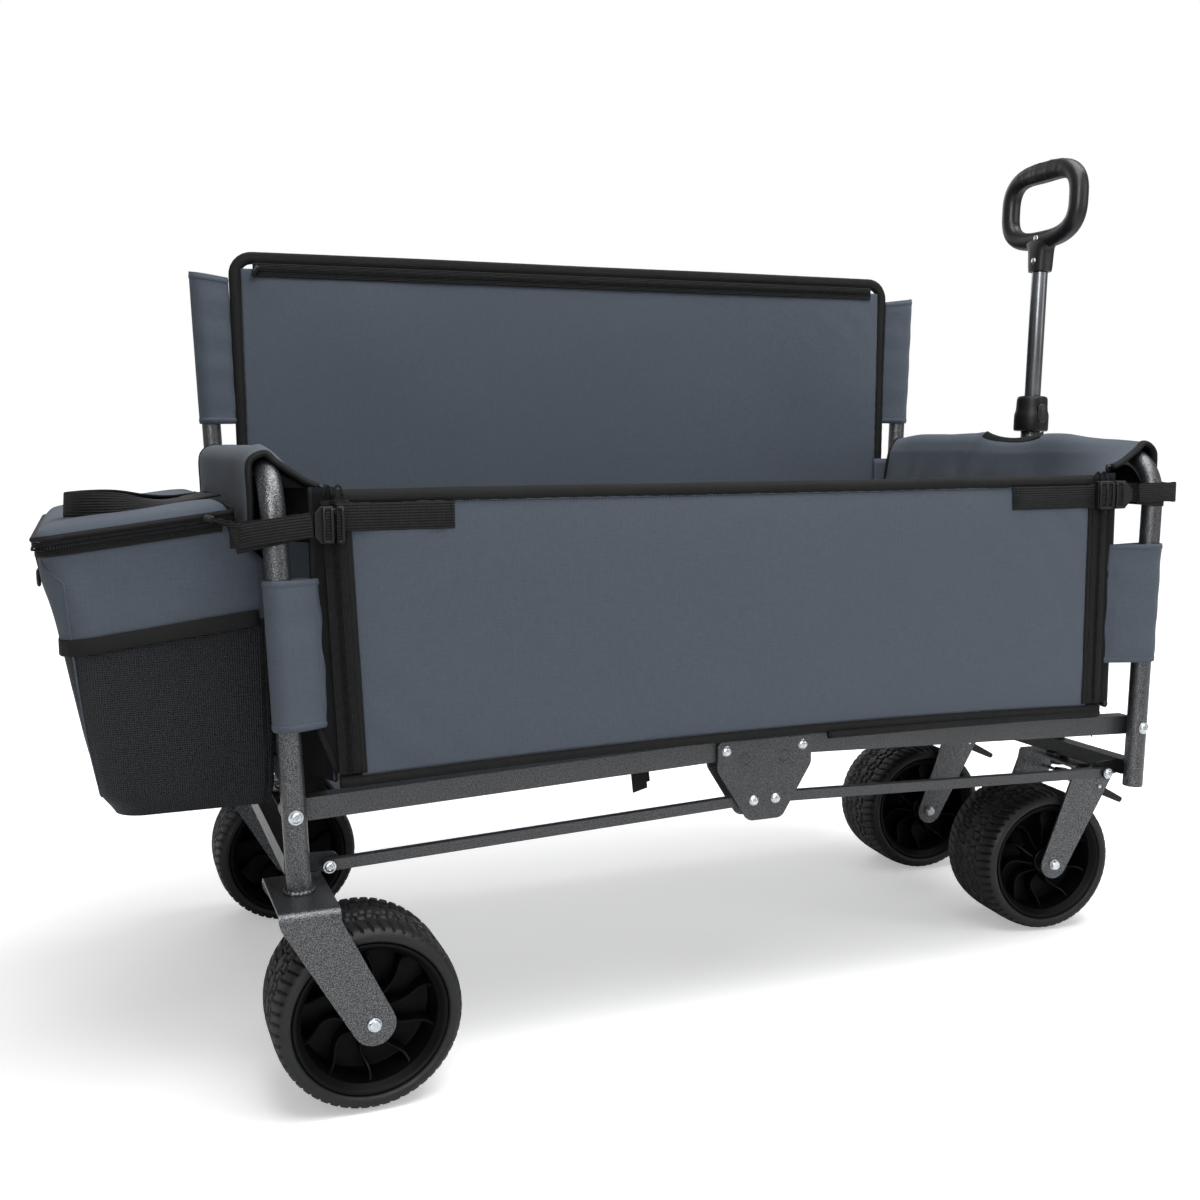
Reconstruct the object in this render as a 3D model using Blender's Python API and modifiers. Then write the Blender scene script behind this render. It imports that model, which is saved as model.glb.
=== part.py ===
"""Folding wagon bench with a telescopic pull handle, rear bag and drop-down side panel.

Metres, +Z up, +X towards the handle end, -Y towards the drop-down side.
The origin is on the floor under the middle of the overall box; everything hangs
on the empty "wagon", whose own origin is midway between the four posts.
"""

import math

import bmesh
import bpy
from mathutils import Vector

# ---------------------------------------------------------------- driving sizes
WAGON_X = 0.0686           # midway between the posts, seen from the middle of the box
HALF_LENGTH = 0.549        # post line, at the height of the rail bolts
HALF_WIDTH = 0.296
GAP = 0.0004               # between pieces that touch

TUBE_R = 0.0127            # one-inch frame tube
TUBE_WALL = 0.0013
SPLAY = math.radians(1.94)  # the posts and the handle lean out at the top
BEND_R = 0.055
REAR_FOOT_Z = 0.2259
FRONT_FOOT_Z = 0.2280
ARM_Z = 0.664              # centre of the arm rail
FAR_POST_TOP_Z = 0.912

BOLT_Z = 0.3075            # rails turn on the posts here
PLATE_PIVOT_X = 0.0505
PLATE_PIVOT_Z = 0.3264
ROD_OFFSET_X = 0.036       # lower pivots, inboard of and below the rail pivots
ROD_OFFSET_Z = -0.0624
RAIL_HALF_HEIGHT = 0.012
RAIL_Y = 0.273             # middle of a rail, inside the posts
RAIL_HALF_Y = 0.010
ROD_Y = 0.278
ROD_HALF_Y = 0.005
ROD_HALF_HEIGHT = 0.006
HINGE_PLATE_Y = (0.2867, 0.2583)
HINGE_PLATE_HALF = 0.0014
PIN_R = 0.0030
PIN_HOLE_R = 0.0034

BEAM_HALF = 0.010
BEAM_Z = 0.251
TAB_Y = 0.2703
TAB_HALF_Y = 0.0015

WHEEL_R = 0.099
TYRE_HALF_WIDTH = 0.057
BEAD_R = 0.0812
SEAT_R = 0.0745
AXLE_R = 0.005
AXLE_HOLE_R = 0.0054
HUB_HALF = 0.0605
FORK_HALF_OUTER = 0.066
FORK_HALF_INNER = 0.0625
REAR_WHEEL_X = -0.485
CASTER_X = HALF_LENGTH
CASTER_Y = 0.1465
CASTER_TRAIL = 0.0465
CASTER_TURN = {"near": math.radians(-5.3), "far": math.radians(-4.6)}
REAR_CROWN_Z = 0.2255
CASTER_CROWN_Z = 0.2366
CROWN_THICK = 0.005
PEDAL_PIVOT = (0.022, 0.2050)   # from the swivel axis
PEDAL_HALF_Y = 0.017
PEDAL_PIN_R = 0.0025

HANDLE_X = 0.5875
HANDLE_Z = 0.262
LOWER_R = 0.014
LOWER_BORE = 0.0120
UPPER_R = 0.0115
COLLAR_R = 0.025
COLLAR_SPAN = (0.436, 0.488)
GRIP_FOOT = 0.671
GRIP_CENTRE = 0.7675
GRIP_HALF_W = 0.0727
GRIP_HALF_H = 0.047
GRIP_R = 0.015

BOARD_HALF = 0.004
BOARD_DROP = 0.008         # middle of a floor board, below the line of its pivots
BOARD_HALF_Y = 0.255

WHEEL_STEPS = 24
TUBE_SIDES = 14

ENDS = {"rear": -1.0, "front": 1.0}
SIDES = {"near": -1.0, "far": 1.0}
FLAT_XZ = (math.pi / 2, 0.0, 0.0)    # a flat outline drawn in XY stands up in XZ

# ---------------------------------------------------------------- scene helpers
for existing in list(bpy.data.objects):
    bpy.data.objects.remove(existing, do_unlink=True)

PARTS = bpy.data.collections.new("folding_wagon")
CUTTERS = bpy.data.collections.new("cutters")
bpy.context.scene.collection.children.link(PARTS)
bpy.context.scene.collection.children.link(CUTTERS)


def paint(name, colour, roughness, metallic=0.0):
    """A Principled material."""
    made = bpy.data.materials.new(name)
    made.use_nodes = True
    shader = made.node_tree.nodes["Principled BSDF"]
    shader.inputs["Base Color"].default_value = (*colour, 1.0)
    shader.inputs["Roughness"].default_value = roughness
    shader.inputs["Metallic"].default_value = metallic
    return made


FRAME_PAINT = paint("hammertone_grey", (0.085, 0.09, 0.095), 0.42, 0.6)
DARK_PAINT = paint("dark_paint", (0.03, 0.032, 0.034), 0.45, 0.4)
ZINC = paint("zinc", (0.72, 0.73, 0.74), 0.28, 1.0)
RUBBER = paint("tyre_rubber", (0.03, 0.034, 0.038), 0.75)
RIM_PLASTIC = paint("rim_plastic", (0.012, 0.012, 0.013), 0.3)
BLACK_PLASTIC = paint("black_plastic", (0.015, 0.015, 0.016), 0.4)
FABRIC = paint("grey_fabric", (0.093, 0.112, 0.138), 0.85)
MESH_FABRIC = paint("mesh_fabric", (0.02, 0.021, 0.024), 0.9)
WEBBING = paint("webbing", (0.013, 0.013, 0.014), 0.8)
CHROME_TUBE = paint("handle_tube", (0.3, 0.31, 0.32), 0.3, 0.9)


def empty(name, location, parent=None, rotation=(0.0, 0.0, 0.0)):
    """A pivot, placed in its parent's frame."""
    made = bpy.data.objects.new(name, None)
    PARTS.objects.link(made)
    made.parent = parent
    made.location = location
    made.rotation_euler = rotation
    return made


def place(obj, parent, material, location=(0.0, 0.0, 0.0), rotation=(0.0, 0.0, 0.0)):
    """Puts a piece in the parts collection, in its parent's frame."""
    PARTS.objects.link(obj)
    obj.parent = parent
    obj.location = location
    obj.rotation_euler = rotation
    obj.data.materials.append(material)
    return obj


def hide(obj, parent, location=(0.0, 0.0, 0.0), rotation=(0.0, 0.0, 0.0)):
    """Puts a shape in the cutters collection."""
    CUTTERS.objects.link(obj)
    obj.parent = parent
    obj.location = location
    obj.rotation_euler = rotation
    obj.hide_render = True
    obj.display_type = "WIRE"
    return obj


def boolean(target, other, operation):
    """Adds an exact Boolean modifier."""
    modifier = target.modifiers.new(operation.lower(), "BOOLEAN")
    modifier.operation = operation
    modifier.solver = "EXACT"
    modifier.object = other
    return modifier


def bevel(obj, width, segments=2, angle=35.0):
    """Rounds the sharp edges."""
    modifier = obj.modifiers.new("edges", "BEVEL")
    modifier.width = width
    modifier.segments = segments
    modifier.limit_method = "ANGLE"
    modifier.angle_limit = math.radians(angle)
    return obj


def smooth(obj, angle=35.0):
    """Shades a mesh smooth, except at its sharp edges."""
    obj.data.shade_smooth()
    obj.data.set_sharp_from_angle(angle=math.radians(angle))
    return obj


def box_object(name, size, centre=(0.0, 0.0, 0.0)):
    """A box as a mesh object, its place kept in its mesh."""
    cage = bmesh.new()
    bmesh.ops.create_cube(cage, size=1.0)
    bmesh.ops.scale(cage, vec=Vector(size), verts=cage.verts)
    bmesh.ops.translate(cage, vec=Vector(centre), verts=cage.verts)
    mesh = bpy.data.meshes.new(name)
    cage.to_mesh(mesh)
    cage.free()
    return bpy.data.objects.new(name, mesh)


def span_box(name, x, y, z):
    """A box between two values on each axis."""
    size = (x[1] - x[0], y[1] - y[0], z[1] - z[0])
    centre = ((x[0] + x[1]) / 2, (y[0] + y[1]) / 2, (z[0] + z[1]) / 2)
    return box_object(name, size, centre)


def cylinder_object(name, radius, length, sides=16):
    """A cylinder along Z, centred on its origin."""
    cage = bmesh.new()
    bmesh.ops.create_cone(cage, cap_ends=True, segments=sides,
                          radius1=radius, radius2=radius, depth=length)
    mesh = bpy.data.meshes.new(name)
    cage.to_mesh(mesh)
    cage.free()
    return bpy.data.objects.new(name, mesh)


def arc(centre, radius, start, end, steps):
    """Points on an arc, angles in degrees."""
    points = []
    for step in range(steps + 1):
        angle = math.radians(start + (end - start) * step / steps)
        points.append((centre[0] + radius * math.cos(angle),
                       centre[1] + radius * math.sin(angle)))
    return points


def circle(centre, radius, sides=12):
    """Points round a circle."""
    return arc(centre, radius, 0.0, 360.0, sides)[:-1]


def rounded(corners, radii, steps=4):
    """An outline whose corners are rounded, each with its own radius."""
    points = []
    count = len(corners)
    for index, corner in enumerate(corners):
        here = Vector(corner)
        before = (Vector(corners[index - 1]) - here).normalized()
        after = (Vector(corners[(index + 1) % count]) - here).normalized()
        radius = radii[index]
        if radius <= 0.0:
            points.append(tuple(here))
            continue
        half = before.angle(after) / 2
        reach = radius / math.tan(half)
        middle = here + (before + after).normalized() * (radius / math.sin(half))
        first = here + before * reach - middle
        turn = first.angle_signed(here + after * reach - middle)
        for step in range(steps + 1):
            angle = -turn * step / steps
            points.append((middle.x + first.x * math.cos(angle) - first.y * math.sin(angle),
                           middle.y + first.x * math.sin(angle) + first.y * math.cos(angle)))
    return points


def outline_curve(name, outlines, half_depth):
    """A flat filled outline with holes, extruded both ways."""
    curve = bpy.data.curves.new(name, "CURVE")
    curve.dimensions = "2D"
    curve.fill_mode = "BOTH"
    curve.extrude = half_depth
    for outline in outlines:
        spline = curve.splines.new("POLY")
        spline.points.add(len(outline) - 1)
        for point, (x, y) in zip(spline.points, outline):
            point.co = (x, y, 0.0, 1.0)
        spline.use_cyclic_u = True
    return bpy.data.objects.new(name, curve)


def tube_curve(name, points, radius, resolution=3, filled=True, cyclic=False):
    """A round bar along a line of points."""
    curve = bpy.data.curves.new(name, "CURVE")
    curve.dimensions = "3D"
    curve.bevel_depth = radius
    curve.bevel_resolution = resolution
    curve.use_fill_caps = filled
    spline = curve.splines.new("POLY")
    spline.points.add(len(points) - 1)
    for point, place_at in zip(spline.points, points):
        point.co = (*place_at, 1.0)
    spline.use_cyclic_u = cyclic
    return bpy.data.objects.new(name, curve)


def as_mesh(obj):
    """Turns a curve object into a mesh object with welded caps."""
    bpy.context.scene.collection.objects.link(obj)
    bpy.context.view_layer.update()
    graph = bpy.context.evaluated_depsgraph_get()
    mesh = bpy.data.meshes.new_from_object(obj.evaluated_get(graph))
    cage = bmesh.new()
    cage.from_mesh(mesh)
    bmesh.ops.remove_doubles(cage, verts=cage.verts, dist=0.00001)
    bmesh.ops.recalc_face_normals(cage, faces=cage.faces)
    cage.to_mesh(mesh)
    cage.free()
    name = obj.name
    made = bpy.data.objects.new(name + "_mesh", mesh)
    made.matrix_world = obj.matrix_world.copy()
    bpy.data.objects.remove(obj, do_unlink=True)
    made.name = name
    return made


def turned(name, profile, steps, closed=False):
    """A profile of (radius, height) points, top to bottom, turned about Z."""
    mesh = bpy.data.meshes.new(name)
    edges = [(index, index + 1) for index in range(len(profile) - 1)]
    if closed:
        edges.append((len(profile) - 1, 0))
    mesh.from_pydata([(radius, 0.0, height) for radius, height in profile], edges, [])
    obj = bpy.data.objects.new(name, mesh)
    screw = obj.modifiers.new("turn", "SCREW")
    screw.steps = steps
    screw.render_steps = steps
    screw.use_merge_vertices = True
    screw.merge_threshold = 0.00001
    screw.use_smooth_shade = True
    return obj


def weld_on(target, pieces, parent):
    """Joins pieces to a target with Boolean unions."""
    for piece in pieces:
        hide(piece, parent, piece.location.copy(), piece.rotation_euler.copy())
        boolean(target, piece, "UNION")
    return target


def at(obj, location, rotation=(0.0, 0.0, 0.0)):
    """Sets a loose object's place, before it is joined to others."""
    obj.location = location
    obj.rotation_euler = rotation
    return obj


def post_x(z):
    """How far a post stands from the middle of the wagon at a height."""
    return HALF_LENGTH + (z - BOLT_Z) * math.tan(SPLAY)


# ---------------------------------------------------------------- pivots
WAGON = empty("wagon", (WAGON_X, 0.0, 0.0))
REAR_RAIL_PIVOT = empty("rear_rail_pivot", (-HALF_LENGTH, 0.0, BOLT_Z), WAGON)
FRONT_RAIL_PIVOT = empty("front_rail_pivot", (PLATE_PIVOT_X, 0.0, PLATE_PIVOT_Z), WAGON)
PLATE_PIVOT = empty("plate_pivot", (-PLATE_PIVOT_X, 0.0, PLATE_PIVOT_Z), WAGON)
REAR_ROD_PIVOT = empty(
    "rear_rod_pivot", (-HALF_LENGTH + ROD_OFFSET_X, 0.0, BOLT_Z + ROD_OFFSET_Z), WAGON)
FRONT_ROD_PIVOT = empty(
    "front_rod_pivot",
    (PLATE_PIVOT_X - ROD_OFFSET_X, 0.0, PLATE_PIVOT_Z + ROD_OFFSET_Z), WAGON)
PANEL_HINGE_Y, PANEL_HINGE_Z = -0.303, 0.325
PANEL_HINGE = empty("panel_hinge", (0.0, PANEL_HINGE_Y, PANEL_HINGE_Z), WAGON)
HANDLE_PIVOT = empty("handle_pivot", (HANDLE_X, 0.0, HANDLE_Z), WAGON, (0.0, SPLAY, 0.0))

RAIL_RUN = HALF_LENGTH - PLATE_PIVOT_X
RAIL_RISE = PLATE_PIVOT_Z - BOLT_Z
RAIL_LENGTH = math.hypot(RAIL_RUN, RAIL_RISE)
RAIL_SLOPE = math.atan2(RAIL_RISE, RAIL_RUN)


# ---------------------------------------------------------------- frame ends
def bent_path(end):
    """Foot of the near post, up it, round the bend and along the arm rail."""
    foot_z = REAR_FOOT_Z if end < 0 else FRONT_FOOT_Z
    foot = Vector((end * post_x(foot_z), -HALF_WIDTH, foot_z))
    corner = Vector((end * post_x(ARM_Z), -HALF_WIDTH, ARM_Z))
    tip = Vector((end * post_x(ARM_Z), HALF_WIDTH - TUBE_R - 2 * GAP, ARM_Z))
    down = (foot - corner).normalized()
    along = (tip - corner).normalized()
    middle = corner + (down + along) * BEND_R
    steps = 6
    bend = []
    for step in range(steps + 1):
        angle = math.pi / 2 * step / steps
        bend.append(middle - along * BEND_R * math.cos(angle) - down * BEND_R * math.sin(angle))
    return [foot] + bend + [tip]


def hollow(obj):
    """Gives an open tube its wall, inwards."""
    wall = obj.modifiers.new("wall", "SOLIDIFY")
    wall.thickness = TUBE_WALL
    wall.offset = -1.0
    return obj


def drill(obj, radius, x, z, y_span, sides=10):
    """Cuts a round hole along Y."""
    cutter = cylinder_object("drill_" + obj.name, radius, y_span[1] - y_span[0], sides)
    middle = (y_span[0] + y_span[1]) / 2
    hide(cutter, WAGON, (x, middle, z), FLAT_XZ)
    boolean(obj, cutter, "DIFFERENCE")


def make_post(name, path, end, side):
    """A frame tube with the hole for its rail bolt."""
    raw = as_mesh(tube_curve(name, path, TUBE_R, resolution=TUBE_SIDES // 4, filled=False))
    post = place(raw, WAGON, FRAME_PAINT)
    hollow(post)
    reach = sorted((side * (HALF_WIDTH - 0.02), side * (HALF_WIDTH + 0.02)))
    drill(post, PIN_HOLE_R, end * HALF_LENGTH, BOLT_Z, reach)
    return smooth(post)


def make_posts():
    """The near posts bend into the arm rails; the far posts carry the bench back."""
    for word, end in ENDS.items():
        make_post(word + "_near_post", bent_path(end), end, -1.0)
        foot_z = REAR_FOOT_Z if end < 0 else FRONT_FOOT_Z
        straight = [(end * post_x(foot_z), HALF_WIDTH, foot_z),
                    (end * post_x(FAR_POST_TOP_Z), HALF_WIDTH, FAR_POST_TOP_Z)]
        make_post(word + "_far_post", straight, end, 1.0)


def pan_bolt(name, length, head_radius, head_height):
    """A bolt along Z with its head at the top, seated at z = 0 on a washer."""
    profile = [(0.0, head_height), (head_radius * 0.55, head_height * 0.85),
               (head_radius * 0.82, head_height * 0.4), (head_radius * 0.86, 0.0012),
               (head_radius, 0.0012), (head_radius, 0.0), (PIN_R, 0.0), (PIN_R, -length),
               (0.0, -length)]
    return turned(name, profile, 10)


def kingpin(name):
    """A caster's stem: head on the beam, flange between beam and fork, nut below."""
    top, under = BEAM_Z + BEAM_HALF - 0.001, BEAM_Z - BEAM_HALF
    crown_top, crown_foot = CASTER_CROWN_Z + GAP, CASTER_CROWN_Z - CROWN_THICK - GAP
    profile = [(0.0, top + 0.0080), (0.0090, top + 0.0070), (0.0090, top), (0.0060, top),
               (0.0060, under + 0.001), (0.0160, under + 0.001), (0.0160, crown_top),
               (0.0060, crown_top), (0.0060, crown_foot), (0.0095, crown_foot),
               (0.0095, crown_foot - 0.0075), (0.0, crown_foot - 0.0085)]
    return turned(name, profile, 12)


def make_cross_beam(word, end):
    """The beam between two posts, with its rod tabs, rod pins and, in front, kingpins."""
    reach = HALF_WIDTH - TUBE_R - 2 * GAP
    beam = box_object(word + "_cross_beam", (2 * BEAM_HALF, 2 * reach, 2 * BEAM_HALF),
                      (end * HALF_LENGTH, 0.0, BEAM_Z))
    place(beam, WAGON, DARK_PAINT)
    rod_x = end * (HALF_LENGTH - ROD_OFFSET_X)
    rod_z = BOLT_Z + ROD_OFFSET_Z
    root_x = end * HALF_LENGTH
    tab_outline = rounded(
        [(root_x, rod_z - 0.0035), (rod_x - end * 0.012, rod_z - 0.012),
         (rod_x - end * 0.012, rod_z + 0.012), (root_x, rod_z + 0.0135)],
        [0.0, 0.009, 0.009, 0.0])
    seat = ROD_Y + ROD_HALF_Y + GAP
    for side in SIDES.values():
        tab = as_mesh(outline_curve("rod_tab", [tab_outline], TAB_HALF_Y))
        pin = pan_bolt("rod_pin", seat - TAB_Y + 0.004, 0.0075, 0.004)
        weld_on(beam, [at(tab, (0.0, side * TAB_Y, 0.0), FLAT_XZ),
                       at(pin, (rod_x, side * seat, rod_z), (-side * math.pi / 2, 0.0, 0.0))],
                WAGON)
        if end > 0:
            weld_on(beam, [at(kingpin("kingpin"), (CASTER_X, side * CASTER_Y, 0.0))], WAGON)


def make_rail_bolts(word, end):
    """The two bolts that the rails turn on, through the posts."""
    for side_word, side in SIDES.items():
        seat = HALF_WIDTH + TUBE_R + GAP
        length = seat - (RAIL_Y - RAIL_HALF_Y - 0.004)
        bolt = pan_bolt(word + "_" + side_word + "_rail_bolt", length, 0.0085, 0.0045)
        place(bolt, WAGON, ZINC, (end * HALF_LENGTH, side * seat, BOLT_Z),
              (-side * math.pi / 2, 0.0, 0.0))


# ---------------------------------------------------------------- forks and wheels
def fork_outline(crown, crown_top, axle, end_radius, shoulder_z):
    """A crown and a leg that runs down to a round end about the axle."""
    left, right = crown
    top_middle = Vector(((left + right) / 2, shoulder_z))
    along = (top_middle - Vector(axle)).normalized()
    start = math.degrees(math.atan2(along.x, -along.y))
    foot = arc(axle, end_radius, start, start + 180.0, 10)
    crown_points = [(right, shoulder_z), (right, crown_top), (left, crown_top),
                    (left, shoulder_z)]
    return foot + crown_points


def make_fork(name, parent, crown, crown_top, axle, end_radius, caster=False):
    """A channel bent from plate: crown above the tyre, a leg each side of it."""
    shoulder_z = crown_top - 0.013
    outline = fork_outline(crown, crown_top, axle, end_radius, shoulder_z)
    raw = as_mesh(outline_curve(name, [outline, circle(axle, AXLE_HOLE_R)], FORK_HALF_OUTER))
    raw.data.transform(raw.matrix_world)
    fork = place(raw, parent, FRAME_PAINT, rotation=FLAT_XZ)
    inside = span_box("inside_" + name, (-0.7, 0.7), (-FORK_HALF_INNER, FORK_HALF_INNER),
                      (-0.05, crown_top - CROWN_THICK))
    hide(inside, parent)
    boolean(fork, inside, "DIFFERENCE")
    if caster:
        bore = cylinder_object("bore_" + name, 0.0064, 0.05, 12)
        hide(bore, parent, (0.0, 0.0, crown_top))
        boolean(fork, bore, "DIFFERENCE")
        pin = cylinder_object("pedal_pin", PEDAL_PIN_R, 2 * FORK_HALF_OUTER + 0.004, 10)
        weld_on(fork, [at(pin, (PEDAL_PIVOT[0], 0.0, PEDAL_PIVOT[1]), FLAT_XZ)], parent)
    return fork


def axle_bolt(name):
    """Axle with its hexagonal head and nut, along Z."""
    seat = FORK_HALF_OUTER + GAP
    head = seat + 0.006
    profile = [(0.0, head), (0.0085, head), (0.0085, seat), (AXLE_R, seat), (AXLE_R, -seat),
               (0.0085, -seat), (0.0085, -head), (0.0, -head)]
    return turned(name, profile, 12)


TYRE_PROFILE = [
    (0.0749, 0.0422), (0.0806, 0.0492), (BEAD_R, 0.0535), (0.0870, TYRE_HALF_WIDTH),
    (WHEEL_R - 0.0040, TYRE_HALF_WIDTH - 0.0055), (WHEEL_R, 0.032)]

RIM_PROFILE = [
    (0.0165, HUB_HALF), (0.0165, 0.010), (0.0705, 0.010), (0.0705, 0.046),
    (0.0785, 0.0540), (0.0800, 0.0500), (SEAT_R, 0.0430)]


def mirrored_profile(profile):
    """The profile's other half, so that it is the same both sides of the middle."""
    return profile + [(radius, -height) for radius, height in reversed(profile)]


def make_wheel(word, parent):
    """Tyre and rim, turning about the parent's Y."""
    tyre = turned(word + "_tyre", mirrored_profile(TYRE_PROFILE), WHEEL_STEPS, closed=True)
    place(tyre, parent, RUBBER, rotation=FLAT_XZ)
    inner = [(AXLE_R + 0.0006, -HUB_HALF), (AXLE_R + 0.0006, HUB_HALF)]
    loop = mirrored_profile(RIM_PROFILE) + inner
    rim = turned(word + "_rim", loop, WHEEL_STEPS, closed=True)
    place(rim, parent, RIM_PLASTIC, rotation=FLAT_XZ)


def make_rear_wheels():
    """Fixed forks under the rear posts."""
    for word, side in SIDES.items():
        y = side * HALF_WIDTH
        fork_frame = empty("rear_" + word + "_fork_place", (0.0, y, 0.0), WAGON)
        make_fork("rear_" + word + "_fork", fork_frame, (-0.576, -0.515), REAR_CROWN_Z,
                  (REAR_WHEEL_X, WHEEL_R), 0.0225)
        centre = empty("rear_" + word + "_hub", (REAR_WHEEL_X, y, WHEEL_R), WAGON)
        make_wheel("rear_" + word, centre)
        place(axle_bolt("rear_" + word + "_axle"), centre, ZINC, rotation=FLAT_XZ)


def make_pedal(name, parent):
    """Foot pedal of the wheel brake, on a pin between the fork's legs."""
    pivot_x, pivot_z = PEDAL_PIVOT
    slope = math.radians(-27.0)
    along = Vector((math.cos(slope), math.sin(slope)))
    across = Vector((-along.y, along.x))
    hub = Vector(PEDAL_PIVOT)
    tip = hub + along * 0.085
    corners = [hub - along * 0.016 - across * 0.0065, hub - along * 0.016 + across * 0.0025,
               hub + across * 0.0075, tip + across * 0.0035, tip - across * 0.0045,
               hub - across * 0.0085]
    outline = rounded([tuple(c) for c in corners], [0.002, 0.002, 0.006, 0.0035, 0.0035, 0.006], 3)
    holes = circle((pivot_x, pivot_z), 0.0029, 10)
    raw = as_mesh(outline_curve(name, [outline, holes], PEDAL_HALF_Y))
    place(raw, parent, BLACK_PLASTIC, rotation=FLAT_XZ)


def make_casters():
    """Swivelling front wheels, each with a brake pedal."""
    for word, side in SIDES.items():
        swivel = empty(word + "_caster_swivel", (CASTER_X, side * CASTER_Y, 0.0), WAGON,
                       (0.0, 0.0, CASTER_TURN[word]))
        make_fork(word + "_caster_fork", swivel, (-0.020, 0.045), CASTER_CROWN_Z,
                  (-CASTER_TRAIL, WHEEL_R), 0.0195, caster=True)
        centre = empty(word + "_caster_hub", (-CASTER_TRAIL, 0.0, WHEEL_R), swivel)
        make_wheel(word + "_caster", centre)
        place(axle_bolt(word + "_caster_axle"), centre, ZINC, rotation=FLAT_XZ)
        make_pedal(word + "_brake_pedal", swivel)


# ---------------------------------------------------------------- folding sides
def link_outline(length, half_height, flip):
    """A bar with round ends and a pin hole at each, from (0, 0) along X."""
    bar = (arc((0.0, 0.0), half_height, 90.0, 270.0, 6)
           + arc((length, 0.0), half_height, -90.0, 90.0, 6))
    holes = [circle((0.0, 0.0), PIN_HOLE_R, 10), circle((length, 0.0), PIN_HOLE_R, 10)]
    return [[(flip * x, y) for x, y in loop] for loop in [bar] + holes]


def make_link(name, pivot, length, half_height, y, half_y, slope, flip):
    """A rail or a rod, on its pivot."""
    raw = as_mesh(outline_curve(name, link_outline(length, half_height, flip), half_y))
    return place(raw, pivot, FRAME_PAINT, (0.0, y, 0.0), (math.pi / 2, -slope, 0.0))


def make_rails_and_rods():
    """Two rails and two rods a side; the front pivots are on the hinge plates."""
    for word, side in SIDES.items():
        make_link("rear_" + word + "_rail", REAR_RAIL_PIVOT, RAIL_LENGTH, RAIL_HALF_HEIGHT,
                  side * RAIL_Y, RAIL_HALF_Y, RAIL_SLOPE, 1.0)
        make_link("front_" + word + "_rail", FRONT_RAIL_PIVOT, RAIL_LENGTH, RAIL_HALF_HEIGHT,
                  side * RAIL_Y, RAIL_HALF_Y, -RAIL_SLOPE, 1.0)
        make_link("rear_" + word + "_rod", REAR_ROD_PIVOT, RAIL_LENGTH, ROD_HALF_HEIGHT,
                  side * ROD_Y, ROD_HALF_Y, RAIL_SLOPE, 1.0)
        make_link("front_" + word + "_rod", FRONT_ROD_PIVOT, RAIL_LENGTH, ROD_HALF_HEIGHT,
                  side * ROD_Y, ROD_HALF_Y, -RAIL_SLOPE, 1.0)


def hinge_plate_outline():
    """The plate that joins the rails and rods in the middle of a side, about x = 0."""
    half_top, half_foot = 0.062, 0.0225
    top, shoulder, foot = 0.3375, 0.3030, 0.2400
    return rounded([(-half_top, top), (-half_top, shoulder), (-half_foot, foot),
                    (half_foot, foot), (half_top, shoulder), (half_top, top)],
                   [0.006, 0.010, 0.011, 0.011, 0.010, 0.006])


def make_hinge_plates():
    """An outer and an inner plate a side, held together by the rivets that the bars turn on."""
    pins = []
    for end in ENDS.values():
        pins.append((end * PLATE_PIVOT_X, PLATE_PIVOT_Z))
        pins.append((end * (PLATE_PIVOT_X - ROD_OFFSET_X), PLATE_PIVOT_Z + ROD_OFFSET_Z))
    outer, inner = HINGE_PLATE_Y
    seat = outer + HINGE_PLATE_HALF - 0.0005
    depth = seat - (inner - HINGE_PLATE_HALF)
    profile = [(0.0, 0.0036), (0.0042, 0.0030), (0.0065, 0.0), (PIN_R, 0.0),
               (PIN_R, -depth + 0.0006), (0.0055, -depth + 0.0006), (0.0055, -depth - 0.002),
               (0.0, -depth - 0.002)]
    for word, side in SIDES.items():
        offset = (PLATE_PIVOT_X, 0.0, -PLATE_PIVOT_Z)
        plates = as_mesh(outline_curve(word + "_hinge_plates", [hinge_plate_outline()],
                                       HINGE_PLATE_HALF))
        place(plates, PLATE_PIVOT, FRAME_PAINT, (offset[0], side * outer, offset[2]), FLAT_XZ)
        back = as_mesh(outline_curve("inner_plate", [hinge_plate_outline()], HINGE_PLATE_HALF))
        pieces = [at(back, (offset[0], side * inner, offset[2]), FLAT_XZ)]
        for x, z in pins:
            pieces.append(at(turned("rivet", profile, 8),
                             (offset[0] + x, side * seat, offset[2] + z),
                             (-side * math.pi / 2, 0.0, 0.0)))
        weld_on(plates, pieces, PLATE_PIVOT)


def make_floor():
    """Stiff floor boards that ride on the rails, and a short one between the hinge plates."""
    start, stop = 0.054, RAIL_LENGTH - 0.014
    rear = span_box("rear_floor_board", (start, stop), (-BOARD_HALF_Y, BOARD_HALF_Y),
                    (-BOARD_DROP - BOARD_HALF, -BOARD_DROP + BOARD_HALF))
    place(rear, REAR_RAIL_PIVOT, FABRIC, rotation=(0.0, -RAIL_SLOPE, 0.0))
    front = span_box("front_floor_board", (RAIL_LENGTH - stop, RAIL_LENGTH - start),
                     (-BOARD_HALF_Y, BOARD_HALF_Y),
                     (-BOARD_DROP - BOARD_HALF, -BOARD_DROP + BOARD_HALF))
    place(front, FRONT_RAIL_PIVOT, FABRIC, rotation=(0.0, RAIL_SLOPE, 0.0))
    half = PLATE_PIVOT_X - 0.005
    centre = span_box("centre_floor_board", (PLATE_PIVOT_X - half, PLATE_PIVOT_X + half),
                      (-BOARD_HALF_Y, BOARD_HALF_Y),
                      (-BOARD_DROP - BOARD_HALF, -BOARD_DROP + BOARD_HALF))
    place(centre, PLATE_PIVOT, FABRIC)


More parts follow.
